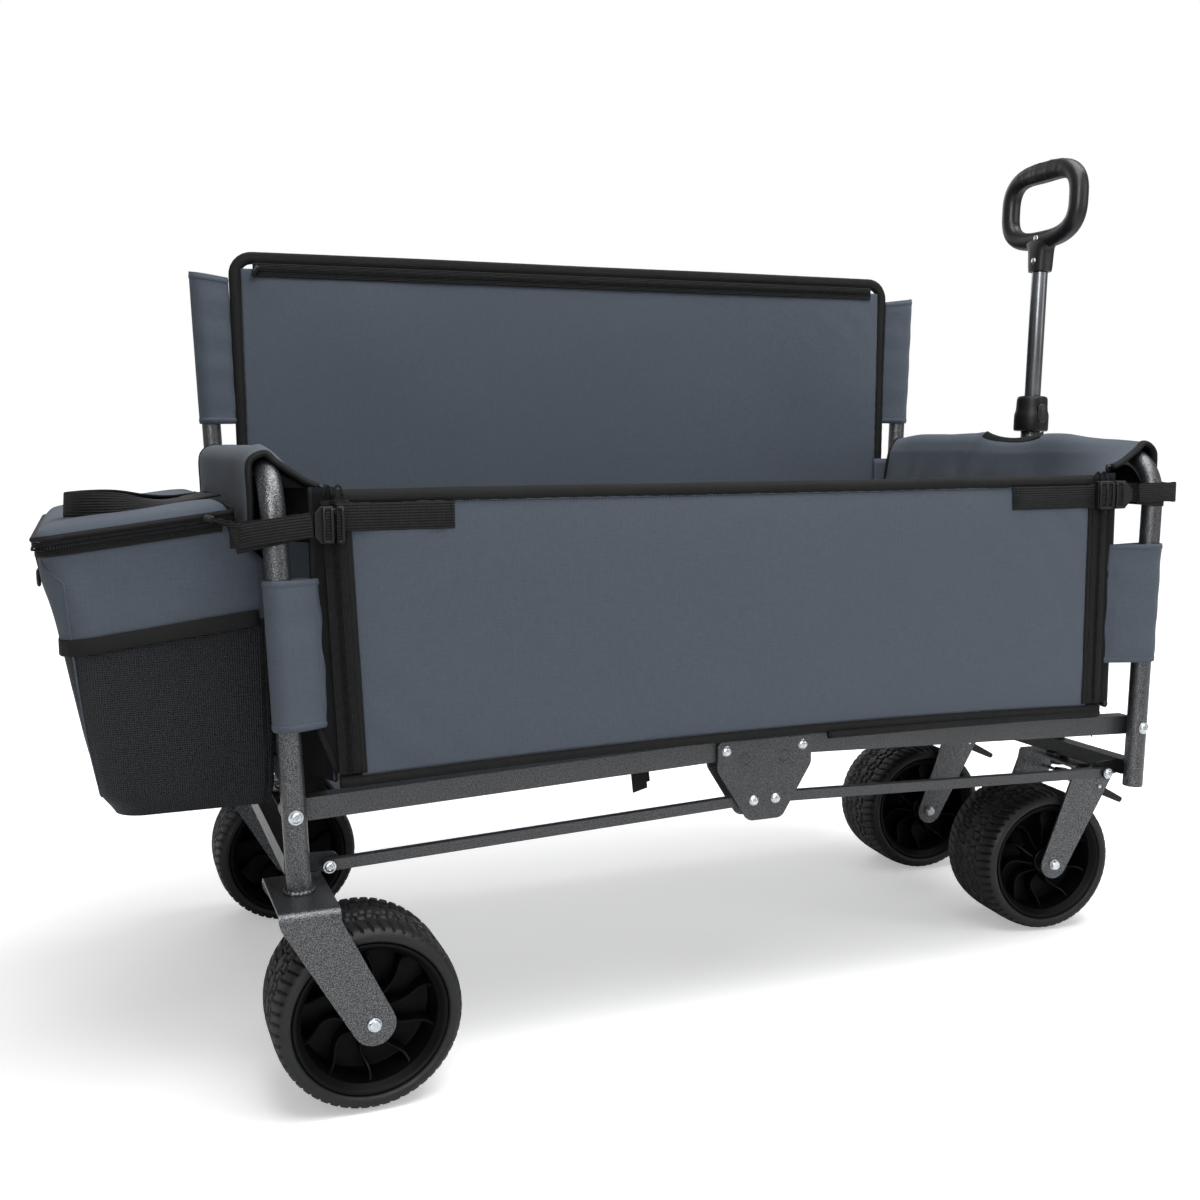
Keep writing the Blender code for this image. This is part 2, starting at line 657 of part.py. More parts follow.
# ---------------------------------------------------------------- handle
def make_handle():
    """Clevis on the front beam, telescopic tubes, collar with its button, and the grip."""
    ear = rounded([(HALF_LENGTH + BEAM_HALF + GAP, 0.2415), (0.592, 0.2415), (0.602, 0.262),
                   (0.592, 0.2780), (HALF_LENGTH + BEAM_HALF + GAP, 0.2780)],
                  [0.0, 0.006, 0.010, 0.008, 0.0])
    raw = as_mesh(outline_curve("handle_bracket", [ear], 0.0215))
    bracket = place(raw, WAGON, DARK_PAINT, rotation=FLAT_XZ)
    slot = span_box("bracket_slot", (0.5690, 0.62), (-0.0175, 0.0175), (0.20, 0.30))
    hide(slot, WAGON)
    boolean(bracket, slot, "DIFFERENCE")
    head, seat = 0.0262, 0.0210
    pin = turned("handle_pin", [(0.0, head), (0.0075, head), (0.0075, seat), (0.0040, seat),
                                (0.0040, -seat), (0.0075, -seat), (0.0075, -head), (0.0, -head)],
                 12)
    weld_on(bracket, [at(pin, (HANDLE_X, 0.0, HANDLE_Z), FLAT_XZ)], WAGON)

    foot, top = -0.0112, COLLAR_SPAN[1] - 0.0042
    walls = [(LOWER_BORE, top), (LOWER_R, top), (LOWER_R, foot), (LOWER_BORE, foot)]
    lower = place(turned("handle_lower_tube", walls, 20, closed=True), HANDLE_PIVOT, FRAME_PAINT)
    bore = cylinder_object("lower_tube_bore", 0.0044, 0.06, 12)
    hide(bore, HANDLE_PIVOT, rotation=FLAT_XZ)
    boolean(lower, bore, "DIFFERENCE")

    base, crest = COLLAR_SPAN
    lid = crest - 0.0038
    collar_walls = [
        (UPPER_R + 0.0004, crest), (COLLAR_R - 0.006, crest), (COLLAR_R - 0.002, crest - 0.004),
        (COLLAR_R - 0.002, base + 0.031), (COLLAR_R, base + 0.027), (COLLAR_R, base + 0.003),
        (COLLAR_R - 0.003, base), (LOWER_R + GAP, base), (LOWER_R + GAP, lid),
        (UPPER_R + 0.0004, lid)]
    collar = place(turned("handle_collar", collar_walls, 24, closed=True), HANDLE_PIVOT,
                   BLACK_PLASTIC)
    middle = (base + crest) / 2
    pocket = span_box("button_pocket", (-0.0084, 0.0084), (-0.04, -0.0165),
                      (middle - 0.0150, middle + 0.0150))
    hide(pocket, HANDLE_PIVOT)
    boolean(collar, pocket, "DIFFERENCE")
    oval = rounded([(-0.0078, -0.0140), (0.0078, -0.0140), (0.0078, 0.0140), (-0.0078, 0.0140)],
                   [0.0070] * 4, 5)
    button = as_mesh(outline_curve("handle_button", [oval], 0.0028))
    place(button, HANDLE_PIVOT, BLACK_PLASTIC, (0.0, -0.0236, middle), FLAT_XZ)

    place(turned("handle_upper_tube",
                 [(0.0, GRIP_FOOT - GAP), (UPPER_R, GRIP_FOOT - GAP), (UPPER_R, 0.215),
                  (0.0, 0.215)], 20), HANDLE_PIVOT, CHROME_TUBE)
    make_grip()


def make_grip():
    """A D-shaped loop on a short neck."""
    loop = []
    count = 26
    for step in range(count):
        angle = 2 * math.pi * step / count
        cos, sin = math.cos(angle), math.sin(angle)
        power = 2.0 / 2.5
        loop.append((0.0, GRIP_HALF_W * math.copysign(abs(cos) ** power, cos),
                     GRIP_CENTRE + GRIP_HALF_H * math.copysign(abs(sin) ** power, sin)))
    ring = as_mesh(tube_curve("handle_grip", loop, GRIP_R, resolution=3, cyclic=True))
    grip = place(smooth(ring), HANDLE_PIVOT, BLACK_PLASTIC)
    shoulder = GRIP_CENTRE - GRIP_HALF_H
    neck = turned("grip_neck", [(0.0, shoulder), (0.021, shoulder - 0.004), (0.0175, 0.692),
                                (0.0150, GRIP_FOOT), (0.0, GRIP_FOOT)], 18)
    hide(neck, HANDLE_PIVOT)
    boolean(grip, neck, "UNION")


# ---------------------------------------------------------------- soft parts
def ribbon(path, half_thickness):
    """The outline of a strip of even thickness along a path."""
    left, right = [], []
    count = len(path)
    for index in range(count):
        here = Vector(path[index])
        ahead = Vector(path[min(index + 1, count - 1)])
        behind = Vector(path[max(index - 1, 0)])
        along = (ahead - behind).normalized()
        across = Vector((-along.y, along.x)) * half_thickness
        left.append(tuple(here + across))
        right.append(tuple(here - across))
    return left + list(reversed(right))


def make_arm_cover(word, end):
    """Fabric draped over the arm rail, open underneath."""
    rail_x = end * post_x(ARM_Z)
    drape = 0.0195
    hump = arc((0.0, ARM_Z), drape, 180.0, 45.0, 9)
    path = [(-0.0210, 0.600), (-0.0200, 0.635)] + hump + [(0.0290, 0.643), (0.0300, 0.632)]
    outline = [(rail_x - end * x, z) for x, z in ribbon(path, 0.0016)]
    raw = as_mesh(outline_curve(word + "_arm_cover", [outline], 0.2770))
    # It leaves the bend of the near post bare and stops short of the tall post.
    place(raw, WAGON, FABRIC, (0.0, 0.0050, 0.0), FLAT_XZ)


def sleeve(y, z_span, end):
    """A fabric tube round a post, leaning with it."""
    middle = (z_span[0] + z_span[1]) / 2
    half = (z_span[1] - z_span[0]) / 2
    walls = [(TUBE_R + GAP, half), (TUBE_R + 0.0029, half), (TUBE_R + 0.0029, -half),
             (TUBE_R + GAP, -half)]
    return at(turned("sleeve", walls, 18, closed=True),
              (end * post_x(middle), y, middle), (0.0, end * SPLAY, 0.0))


def make_end_panel(word, end):
    """Fabric end wall between the posts, with the sleeve that holds it to the near one."""
    xs = sorted((end * 0.5452, end * 0.5410))
    panel = span_box(word + "_end_panel", xs, (-0.258, 0.258), (0.336, 0.655))
    place(panel, WAGON, FABRIC)
    near = sleeve(-HALF_WIDTH, (0.400, 0.550), end)
    web = box_object("sleeve_web", (0.012, 0.0325, 0.110))
    at(web, (end * (post_x(0.488) - 0.009), -0.26625, 0.488), (0.0, end * SPLAY, 0.0))
    weld_on(panel, [web, near], WAGON)


def make_side_panels():
    """The drop-down near panel with its stitched webbing, and the tall bench back."""
    outline = rounded([(-0.499, 0.334), (-0.250, 0.338), (0.0, 0.344), (0.250, 0.338),
                       (0.480, 0.334), (0.480, 0.640), (-0.499, 0.640)],
                      [0.004, 0.0, 0.0, 0.0, 0.004, 0.006, 0.006])
    panel = as_mesh(outline_curve("near_panel", [outline], 0.005))
    place(panel, PANEL_HINGE, FABRIC, (0.0, -0.295 - PANEL_HINGE_Y, -PANEL_HINGE_Z), FLAT_XZ)
    webs = []
    for x_span, z in (((-0.498, -0.378), 0.6115), ((0.334, 0.479), 0.6130)):
        web = span_box("web", x_span, (-0.3022, -0.2980), (z - 0.0135, z + 0.0135))
        webs.append(at(web, (0.0, -PANEL_HINGE_Y, -PANEL_HINGE_Z)))
    weld_on(panel, webs, PANEL_HINGE)

    back = rounded([(-0.528, 0.326), (-0.250, 0.334), (0.0, 0.343), (0.250, 0.334),
                    (0.528, 0.326), (0.531, 0.952), (-0.531, 0.952)],
                   [0.010, 0.0, 0.0, 0.0, 0.010, 0.026, 0.026])
    panel = as_mesh(outline_curve("back_panel", [back], 0.0055))
    place(panel, WAGON, FABRIC, (0.0, 0.2925, 0.0), FLAT_XZ)
    for end in ENDS.values():
        far = sleeve(HALF_WIDTH, (0.713, 0.905), end)
        web = box_object("sleeve_web", (0.040, 0.008, 0.180))
        reach = post_x(0.810) - TUBE_R - 0.0016 - 0.020
        at(web, (end * reach, 0.2925, 0.810), (0.0, end * SPLAY, 0.0))
        weld_on(panel, [web, far], WAGON)


BUCKLE_Z = 0.606


def make_strap(word, end):
    """Webbing looped round the near post, and the buckle that holds the panel's corner."""
    x0 = post_x(0.60)
    outer = -HALF_WIDTH - TUBE_R - 0.0022
    inner = -HALF_WIDTH + TUBE_R + (0.0070 if end > 0 else 0.0022)
    reach = 0.606 if end > 0 else 0.602
    turn_r = (inner - outer) / 2
    loop = ([(0.526, outer)] + [(x0, outer)]
            + arc((reach - turn_r, (inner + outer) / 2), turn_r, -90.0, 90.0, 8)
            + [(0.530, inner)])
    outline = [(end * x, y) for x, y in ribbon(loop, 0.0010)]
    z = 0.590 if end < 0 else 0.6165
    raw = as_mesh(outline_curve(word + "_post_strap", [outline], 0.0125))
    place(raw, WAGON, WEBBING, (0.0, 0.0, z))
    buckle_x = (-0.525, -0.502) if end < 0 else (0.483, 0.508)
    buckle = span_box(word + "_buckle", buckle_x, (-0.3135, -0.3035),
                      (BUCKLE_Z - 0.017, BUCKLE_Z + 0.017))
    place(bevel(buckle, 0.0025), WAGON, BLACK_PLASTIC)


BAG_INNER_X = -0.592
BAG_BELLY_X = -0.572
BAG_HALF_Y = 0.250
BAG_LID_Z = 0.6080


def make_bag():
    """Zipped bag hung on the rear end: an open box, its lid, and a mesh pocket."""
    shell = rounded([(-0.783, BAG_LID_Z - GAP), (-0.730, 0.312), (BAG_BELLY_X, 0.314),
                     (BAG_BELLY_X, 0.555), (BAG_INNER_X, 0.592), (BAG_INNER_X, BAG_LID_Z - GAP)],
                    [0.0, 0.022, 0.022, 0.020, 0.012, 0.0])
    raw = as_mesh(outline_curve("bag_body", [shell], BAG_HALF_Y))
    body = place(raw, WAGON, FABRIC, rotation=FLAT_XZ)
    hollow_shape = rounded([(-0.7770, 0.700), (-0.7260, 0.320), (BAG_BELLY_X - 0.007, 0.320),
                            (BAG_BELLY_X - 0.007, 0.552), (BAG_INNER_X - 0.007, 0.589),
                            (BAG_INNER_X - 0.007, 0.700)], [0.0, 0.015, 0.015, 0.020, 0.012, 0.0])
    cutter = as_mesh(outline_curve("bag_hollow", [hollow_shape], BAG_HALF_Y - 0.007))
    hide(cutter, WAGON, rotation=FLAT_XZ)
    boolean(body, cutter, "DIFFERENCE")

    lid = span_box("bag_lid", (-0.7860, BAG_INNER_X), (-0.2525, 0.2525),
                   (BAG_LID_Z, BAG_LID_Z + 0.0230))
    place(bevel(lid, 0.007), WAGON, FABRIC)

    def pocket_x(z):
        return -0.730 - 0.053 * (z - 0.312) / (BAG_LID_Z - 0.312)

    low, high = 0.345, 0.490
    skin = 0.003
    outline = [(pocket_x(low) - GAP, low), (pocket_x(high) - GAP, high),
               (pocket_x(high) - GAP - skin, high), (pocket_x(low) - GAP - skin, low)]
    raw = as_mesh(outline_curve("bag_pocket", [outline], BAG_HALF_Y - 0.012))
    place(raw, WAGON, MESH_FABRIC, rotation=FLAT_XZ)


def main():
    """Builds every piece of the wagon."""
    make_posts()
    for word, end in ENDS.items():
        make_cross_beam(word, end)
        make_rail_bolts(word, end)
        make_arm_cover(word, end)
        make_end_panel(word, end)
        make_strap(word, end)
    make_rear_wheels()
    make_casters()
    make_rails_and_rods()
    make_hinge_plates()
    make_floor()
    make_handle()
    make_side_panels()
    make_bag()


main()
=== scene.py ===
"""Looks of the folding wagon: painted tubes, wheels, cloth, webbing, zips and the pull handle."""
import math

import bmesh
import bpy
import numpy as np
from mathutils import Matrix, Vector


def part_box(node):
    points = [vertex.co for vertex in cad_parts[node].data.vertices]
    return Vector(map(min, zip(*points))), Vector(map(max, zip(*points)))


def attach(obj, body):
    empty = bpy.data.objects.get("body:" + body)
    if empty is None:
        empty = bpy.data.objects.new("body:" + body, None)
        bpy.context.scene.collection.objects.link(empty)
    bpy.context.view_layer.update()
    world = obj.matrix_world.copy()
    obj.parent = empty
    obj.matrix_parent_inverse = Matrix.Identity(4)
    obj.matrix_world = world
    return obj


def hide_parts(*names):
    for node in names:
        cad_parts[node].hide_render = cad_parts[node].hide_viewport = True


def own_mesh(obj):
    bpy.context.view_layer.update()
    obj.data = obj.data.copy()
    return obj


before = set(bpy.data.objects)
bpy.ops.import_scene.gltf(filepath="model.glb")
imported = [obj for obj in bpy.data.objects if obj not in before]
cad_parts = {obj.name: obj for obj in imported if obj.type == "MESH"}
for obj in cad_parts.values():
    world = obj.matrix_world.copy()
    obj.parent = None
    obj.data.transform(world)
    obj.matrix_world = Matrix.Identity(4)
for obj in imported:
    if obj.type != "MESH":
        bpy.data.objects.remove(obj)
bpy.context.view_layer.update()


def middle_of(node):
    lo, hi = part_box(node)
    return (lo + hi) / 2


# Everything below is written from midway between the four posts, on the floor.
MID = (middle_of("rear_near_rail_bolt").x + middle_of("front_near_rail_bolt").x) / 2
SHIFT = np.array([MID, 0.0, 0.0])
HALF_LENGTH = (middle_of("front_near_rail_bolt").x - middle_of("rear_near_rail_bolt").x) / 2
HALF_WIDTH = 0.296
BOLT_Z = middle_of("rear_near_rail_bolt").z
TUBE_R = 0.0127
SPLAY = math.radians(1.94)
BEND_R = 0.055
ARM_Z = 0.664
WHEEL_Z = 0.099
ENDS = {"rear": -1.0, "front": 1.0}
SIDES = {"near": -1.0, "far": 1.0}
RNG = np.random.default_rng(7)


def post_x(z):
    return HALF_LENGTH + (z - BOLT_Z) * math.tan(SPLAY)


# ------------------------------------------------------------------ smooth noise
LATTICE = RNG.random((64, 64, 64))


def noise(p, scale, seed=0.0):
    """Smooth value noise from -1 to 1 at points p, with features of the given size in metres."""
    q = np.asarray(p, float) / scale + 17.31 * seed + 100.0
    cell = np.floor(q).astype(int)
    f = q - cell
    f = f * f * (3 - 2 * f)
    total = 0.0
    for dx in (0, 1):
        for dy in (0, 1):
            for dz in (0, 1):
                w = ((f[..., 0] if dx else 1 - f[..., 0]) * (f[..., 1] if dy else 1 - f[..., 1])
                     * (f[..., 2] if dz else 1 - f[..., 2]))
                total = total + w * LATTICE[(cell[..., 0] + dx) % 64, (cell[..., 1] + dy) % 64,
                                            (cell[..., 2] + dz) % 64]
    return 2 * total - 1


def rumple(p, seed=0.0, size=0.15):
    """Soft uneven relief of stretched cloth."""
    return (noise(p, size, seed) + 0.32 * noise(p, size / 2.1, seed + 3)
            + 0.07 * noise(p, size / 4.3, seed + 5)) / 1.3


def smoothstep(x, lo, hi):
    t = np.clip((np.asarray(x, float) - lo) / (hi - lo), 0.0, 1.0)
    return t * t * (3 - 2 * t)


# ------------------------------------------------------------------ node materials
class Nodes:
    """A short way to write a material's nodes."""

    def __init__(self, name):
        self.material = bpy.data.materials.new(name)
        self.material.use_nodes = True
        self.tree = self.material.node_tree
        self.shader = self.tree.nodes["Principled BSDF"]

    def set(self, socket, value):
        if isinstance(value, bpy.types.NodeSocket):
            self.tree.links.new(value, socket)
        elif hasattr(socket.default_value, "__len__") and not hasattr(value, "__len__"):
            socket.default_value = [value] * len(socket.default_value)
        elif hasattr(value, "__len__") and len(value) < len(socket.default_value):
            socket.default_value = (*value, 1.0)
        else:
            socket.default_value = value

    def add(self, kind, output=0, settings=(), **inputs):
        node = self.tree.nodes.new(kind)
        for key, value in dict(settings).items():
            setattr(node, key, value)
        for key, value in inputs.items():
            index = int(key[1:]) if key[0] == "i" and key[1:].isdigit() else key.replace("_", " ")
            self.set(node.inputs[index], value)
        return node.outputs[output]

    def math(self, operation, a, b=0.0, c=0.0):
        return self.add("ShaderNodeMath", settings={"operation": operation}, i0=a, i1=b, i2=c)

    def vector(self, operation, a, b=(0.0, 0.0, 0.0)):
        output = 1 if operation in ("DOT_PRODUCT", "LENGTH") else 0
        return self.add("ShaderNodeVectorMath", output, {"operation": operation}, i0=a, i1=b)

    def place(self):
        return self.add("ShaderNodeTexCoord", output=3)

    def uv(self):
        return self.add("ShaderNodeTexCoord", output=2)

    def noise(self, scale, detail=2.0, rough=0.5, vector=None, distortion=0.0):
        return self.add("ShaderNodeTexNoise", Scale=scale, Detail=detail, Roughness=rough,
                        Distortion=distortion, Vector=vector or self.place())

    def span(self, value, lo, hi, to_lo=0.0, to_hi=1.0):
        return self.add("ShaderNodeMapRange", i0=value, i1=lo, i2=hi, i3=to_lo, i4=to_hi)

    def mix(self, factor, a, b):
        node = self.tree.nodes.new("ShaderNodeMix")
        node.data_type = "RGBA"
        self.set(node.inputs[0], factor)
        self.set(node.inputs[6], a)
        self.set(node.inputs[7], b)
        return node.outputs[2]

    def split(self, vector):
        """The three parts of a vector."""
        parts = self.tree.nodes.new("ShaderNodeSeparateXYZ")
        self.set(parts.inputs[0], vector)
        return parts.outputs

    def bump(self, height, distance, strength=1.0, normal=None):
        made = self.add("ShaderNodeBump", Height=height, Distance=distance, Strength=strength)
        if normal:
            self.set(made.node.inputs["Normal"], normal)
        return made

    def finish(self, colour, roughness, metallic=0.0, normal=None, **more):
        self.set(self.shader.inputs["Base Color"], colour)
        self.set(self.shader.inputs["Roughness"], roughness)
        self.set(self.shader.inputs["Metallic"], metallic)
        if normal:
            self.set(self.shader.inputs["Normal"], normal)
        for key, value in more.items():
            self.set(self.shader.inputs[key.replace("_", " ")], value)
        return self.material


def shade(colour, factor):
    return tuple(c * factor for c in colour)


def weave_height(m, pitch):
    """Threads crossing at right angles, along the cloth's own two ways."""
    waves = m.split(m.vector("SINE", m.vector("MULTIPLY", m.uv(), (2 * math.pi / pitch,) * 3)))
    return m.math("MULTIPLY", waves[0], waves[1])


def cloth(name, colour, pitch=0.0011, relief=0.00012, sheen=0.08, rough=0.82, creases=0.0010,
          gloss=0.30):
    """Coated oxford cloth: threads with painted highlight on their crowns, slight mottling and soft
    creases.
    """
    m = Nodes(name)
    threads = weave_height(m, pitch)
    broad = m.noise(7.0, 3.0, 0.55)
    slub = m.noise(1.0, 2.0, 0.6, m.vector("MULTIPLY", m.place(), (90.0, 90.0, 900.0)))
    slub2 = m.noise(1.0, 2.0, 0.6, m.vector("MULTIPLY", m.place(), (900.0, 900.0, 90.0)))
    tone = m.mix(m.span(broad, 0.3, 0.7), shade(colour, 0.95), shade(colour, 1.05))
    # Thread crowns are painted lighter: painted highlight on the weave.
    tone = m.mix(m.span(threads, -1.0, 1.0, 0.0, 0.5), tone, shade(colour, 1.28))
    tone = m.mix(m.span(m.math("MULTIPLY", slub, slub2), 0.15, 0.38, 0.0, 0.45), tone,
                 shade(colour, 0.70))
    crease = m.noise(9.0, 1.5, 0.4)
    normal = m.bump(m.math("ADD", threads, m.math("MULTIPLY", slub, 1.2)), relief)
    normal = m.bump(crease, creases, 0.55, normal)
    return m.finish(tone, m.span(broad, 0.3, 0.7, rough - 0.05, rough + 0.05), normal=normal,
                    Sheen_Weight=sheen, Sheen_Roughness=0.45, Specular_IOR_Level=gloss)


def ribbed_webbing(name, colour, pitch=0.0029):
    """Black webbing with ribs along it and the fine cross threads of its weave; the ribs carry painted
    highlight on their crests and painted shade between them.
    """
    m = Nodes(name)
    u, v = m.split(m.uv())[:2]
    ribs = m.math("SINE", m.math("MULTIPLY", v, 2 * math.pi / pitch))
    across = m.math("SINE", m.math("MULTIPLY", u, 2 * math.pi / 0.0013))
    # Rib crests painted lighter and troughs darker: painted highlight and painted shade.
    tone = m.mix(m.span(ribs, -1.0, 1.0), shade(colour, 0.45), shade(colour, 1.6))
    tone = m.mix(m.span(m.noise(220.0, 3.0), 0.45, 0.8, 0.0, 0.5), tone, shade(colour, 2.8))
    height = m.math("ADD", ribs, m.math("MULTIPLY", across, 0.35))
    return m.finish(tone, 0.62, normal=m.bump(height, 0.00050), Sheen_Weight=0.01,
                    Sheen_Roughness=0.4, Specular_IOR_Level=0.20)


def mesh_cloth(name, colour):
    """Netting over dark cloth: small diamond holes."""
    m = Nodes(name)
    u, v = m.split(m.uv())[:2]
    k = 2 * math.pi / 0.0046
    a = m.math("SINE", m.math("MULTIPLY", m.math("ADD", u, v), k))
    b = m.math("SINE", m.math("MULTIPLY", m.math("SUBTRACT", u, v), k))
    holes = m.math("MULTIPLY", a, b)
    tone = m.mix(m.span(holes, 0.05, 0.5), shade(colour, 2.5), shade(colour, 0.25))
    tone = m.mix(m.span(m.noise(9.0, 3.0), 0.35, 0.7, 0.0, 0.5), tone, shade(colour, 1.3))
    normal = m.bump(m.math("MULTIPLY", holes, -1.0), 0.0008)
    normal = m.bump(m.noise(18.0, 2.0, distortion=0.8), 0.003, 0.5, normal)
    return m.finish(tone, 0.50, normal=normal, Specular_IOR_Level=0.22)


def hammertone(name, light, dark, rough=0.34):
    """Hammered enamel on a metallic coat: its worm-like dimples are painted dark as painted shade and the
    coat between them bright as painted highlight.
    """
    m = Nodes(name)
    worms = m.noise(820.0, 2.0, 0.5, distortion=0.4)
    fine = m.noise(1500.0, 2.0, 0.6)
    broad = m.noise(5.0, 2.0)
    level = m.span(worms, 0.42, 0.60)
    # Painted shade in the dimples and painted highlight on the coat between them.
    tone = m.mix(level, dark, light)
    # Fine specks painted brighter: painted glints.
    tone = m.mix(m.span(fine, 0.55, 0.8, 0.0, 0.35), tone, shade(light, 1.35))
    tone = m.mix(m.span(broad, 0.3, 0.7, 0.0, 0.2), tone, dark)
    normal = m.bump(worms, 0.00050, 0.9)
    return m.finish(tone, m.span(worms, 0.35, 0.65, rough + 0.08, rough - 0.05), 0.8,
                    normal=normal, Coat_Weight=0.15, Coat_Roughness=0.25)


def plated(name, colour, rough=0.22):
    """Bright zinc plate with faint stains."""
    m = Nodes(name)
    stain = m.noise(180.0, 4.0, 0.6)
    tone = m.mix(m.span(stain, 0.35, 0.7), colour, shade(colour, 0.72))
    return m.finish(tone, m.span(stain, 0.3, 0.7, rough - 0.06, rough + 0.14), 1.0,
                    normal=m.bump(m.noise(900.0, 2.0), 0.00004))


def moulded(name, colour, rough, grain=0.00008, scale=900.0, spec=0.5):
    """Moulded plastic or rubber: a fine grain, slight dust in it and uneven gloss."""
    m = Nodes(name)
    grains = m.noise(scale, 3.0, 0.6)
    broad = m.noise(22.0, 3.0, 0.5)
    tone = m.mix(m.span(broad, 0.3, 0.7), shade(colour, 0.85), shade(colour, 1.2))
    tone = m.mix(m.span(grains, 0.6, 0.85, 0.0, 0.35), tone, shade(colour, 2.2))
    return m.finish(tone, m.span(broad, 0.3, 0.7, rough - 0.05, rough + 0.07),
                    normal=m.bump(grains, grain), Specular_IOR_Level=spec)


def rubber(name, colour, tint):
    """Tyre rubber, a little browner and duller on its tread."""
    m = Nodes(name)
    v = m.split(m.uv())[1]
    tread = m.span(m.math("ABSOLUTE", v), 0.050, 0.058, 1.0, 0.0)
    dust = m.noise(60.0, 4.0, 0.6)
    fine = m.noise(1100.0, 2.0)
    tone = m.mix(m.math("MULTIPLY", tread, m.span(dust, 0.3, 0.65)), colour, tint)
    tone = m.mix(m.span(fine, 0.6, 0.85, 0.0, 0.3), tone, shade(colour, 1.8))
    normal = m.bump(fine, 0.00006)
    normal = m.bump(dust, 0.0003, 0.5, normal)
    return m.finish(tone, m.span(dust, 0.3, 0.7, 0.46, 0.62), normal=normal,
                    Specular_IOR_Level=0.34)


GREY = (0.069, 0.085, 0.110)
BLACK = (0.0056, 0.0058, 0.0065)
M = {
    "cloth": cloth("grey_oxford", GREY),
    "cover_cloth": cloth("grey_cover_oxford", GREY, creases=0.0045, gloss=0.34),
    "cloth_back": cloth("grey_oxford_inside", shade(GREY, 0.9)),
    # This dark cloth is real lining on some pieces and painted shade on the end-wall skirts, corner patches
    # and floor seams.
    "lining": cloth("dark_lining_and_painted_shade", (0.0075, 0.0080, 0.0092), sheen=0.0, gloss=0.12),
    "binding": cloth("black_binding", BLACK, 0.0014, 0.00020, 0.0, 0.62, 0.0006, 0.20),
    "webbing": ribbed_webbing("black_webbing", BLACK),
    "zip_tape": ribbed_webbing("zip_tape", shade(BLACK, 0.9), 0.0021),
    "net": mesh_cloth("pocket_net", (0.0088, 0.0102, 0.0122)),
    "frame": hammertone("hammertone_enamel", (0.156, 0.160, 0.167), (0.036, 0.038, 0.041), 0.30),
    "flat_frame": hammertone("hammertone_plate", (0.106, 0.109, 0.114), (0.040, 0.042, 0.045), 0.44),
    "beam": hammertone("dark_enamel", (0.040, 0.042, 0.045), (0.016, 0.017, 0.018), 0.38),
    "zinc": plated("zinc_plate", (0.62, 0.66, 0.69), 0.26),
    "zip_metal": plated("dark_zip_metal", (0.026, 0.027, 0.029), 0.42),
    "plastic": moulded("black_plastic", BLACK, 0.42, spec=0.26),
    "grip": moulded("grip_plastic", (0.0072, 0.0075, 0.0084), 0.38, spec=0.40),
    "rim": moulded("rim_plastic", (0.0030, 0.0031, 0.0035), 0.46, 0.00003, 1300.0, 0.10),
    "tyre": rubber("tyre_rubber", (0.0074, 0.0083, 0.0097), (0.0096, 0.0092, 0.0093)),
}


def handle_metal():
    """Polished dark tube, brushed round its girth."""
    m = Nodes("handle_chrome")
    rings = m.noise(1.0, 3.0, 0.6, m.vector("MULTIPLY", m.place(), (700.0, 700.0, 5.0)))
    broad = m.noise(14.0, 3.0)
    tone = m.mix(m.span(broad, 0.3, 0.7), (0.145, 0.149, 0.157), (0.215, 0.221, 0.231))
    return m.finish(tone, m.span(rings, 0.3, 0.7, 0.22, 0.38), 1.0,
                    normal=m.bump(rings, 0.00003))


M["chrome"] = handle_metal()


# ------------------------------------------------------------------ mesh helpers
def add_mesh(name, verts, faces, material, body, uv=None, smooth=True):
    """A piece from points given from midway between the posts; it rides on a CAD body."""
    verts = np.asarray(verts, float).reshape(-1, 3) + SHIFT
    mesh = bpy.data.meshes.new(name)
    mesh.from_pydata(verts.tolist(), [], [tuple(int(i) for i in f) for f in faces])
    if uv is not None:
        layer = mesh.uv_layers.new(name="UVMap")
        loops = np.zeros(len(mesh.loops), int)
        mesh.loops.foreach_get("vertex_index", loops)
        layer.data.foreach_set("uv", np.asarray(uv, float).reshape(-1, 2)[loops].ravel())
    mesh.polygons.foreach_set("use_smooth", [smooth] * len(mesh.polygons))
    mesh.update()
    obj = bpy.data.objects.new(name, mesh)
    bpy.context.scene.collection.objects.link(obj)
    obj.data.materials.append(M[material])
    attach(obj, body)
    return obj


def moved(points, matrix):
    """Points carried by a matrix."""
    place = np.array(matrix)
    return np.asarray(points, float).reshape(-1, 3) @ place[:3, :3].T + place[:3, 3]


def run_along(path):
    """The length so far at each point of a path."""
    return np.concatenate([[0], np.cumsum(np.linalg.norm(np.diff(path, axis=0), axis=1))])


def points_at(path, lengths):
    """The places on a path that lie the given lengths along it."""
    run = run_along(path)
    return np.stack([np.interp(lengths, run, path[:, k]) for k in range(path.shape[1])], -1)


def route(x, y, z):
    """Points from their three coordinates, any of which may be one number for all."""
    return np.stack(np.broadcast_arrays(x, y, z), -1).astype(float)


def grid_faces(nu, nv, wrap_u=False, wrap_v=False):
    """Quads of an nu by nv grid, row by row."""
    u = np.arange(nu if wrap_u else nu - 1)
    v = np.arange(nv if wrap_v else nv - 1)
    a, b = np.meshgrid(u, v, indexing="ij")
    a2, b2 = (a + 1) % nu, (b + 1) % nv
    quads = np.stack([a * nv + b, a2 * nv + b, a2 * nv + b2, a * nv + b2], -1)
    return quads.reshape(-1, 4)


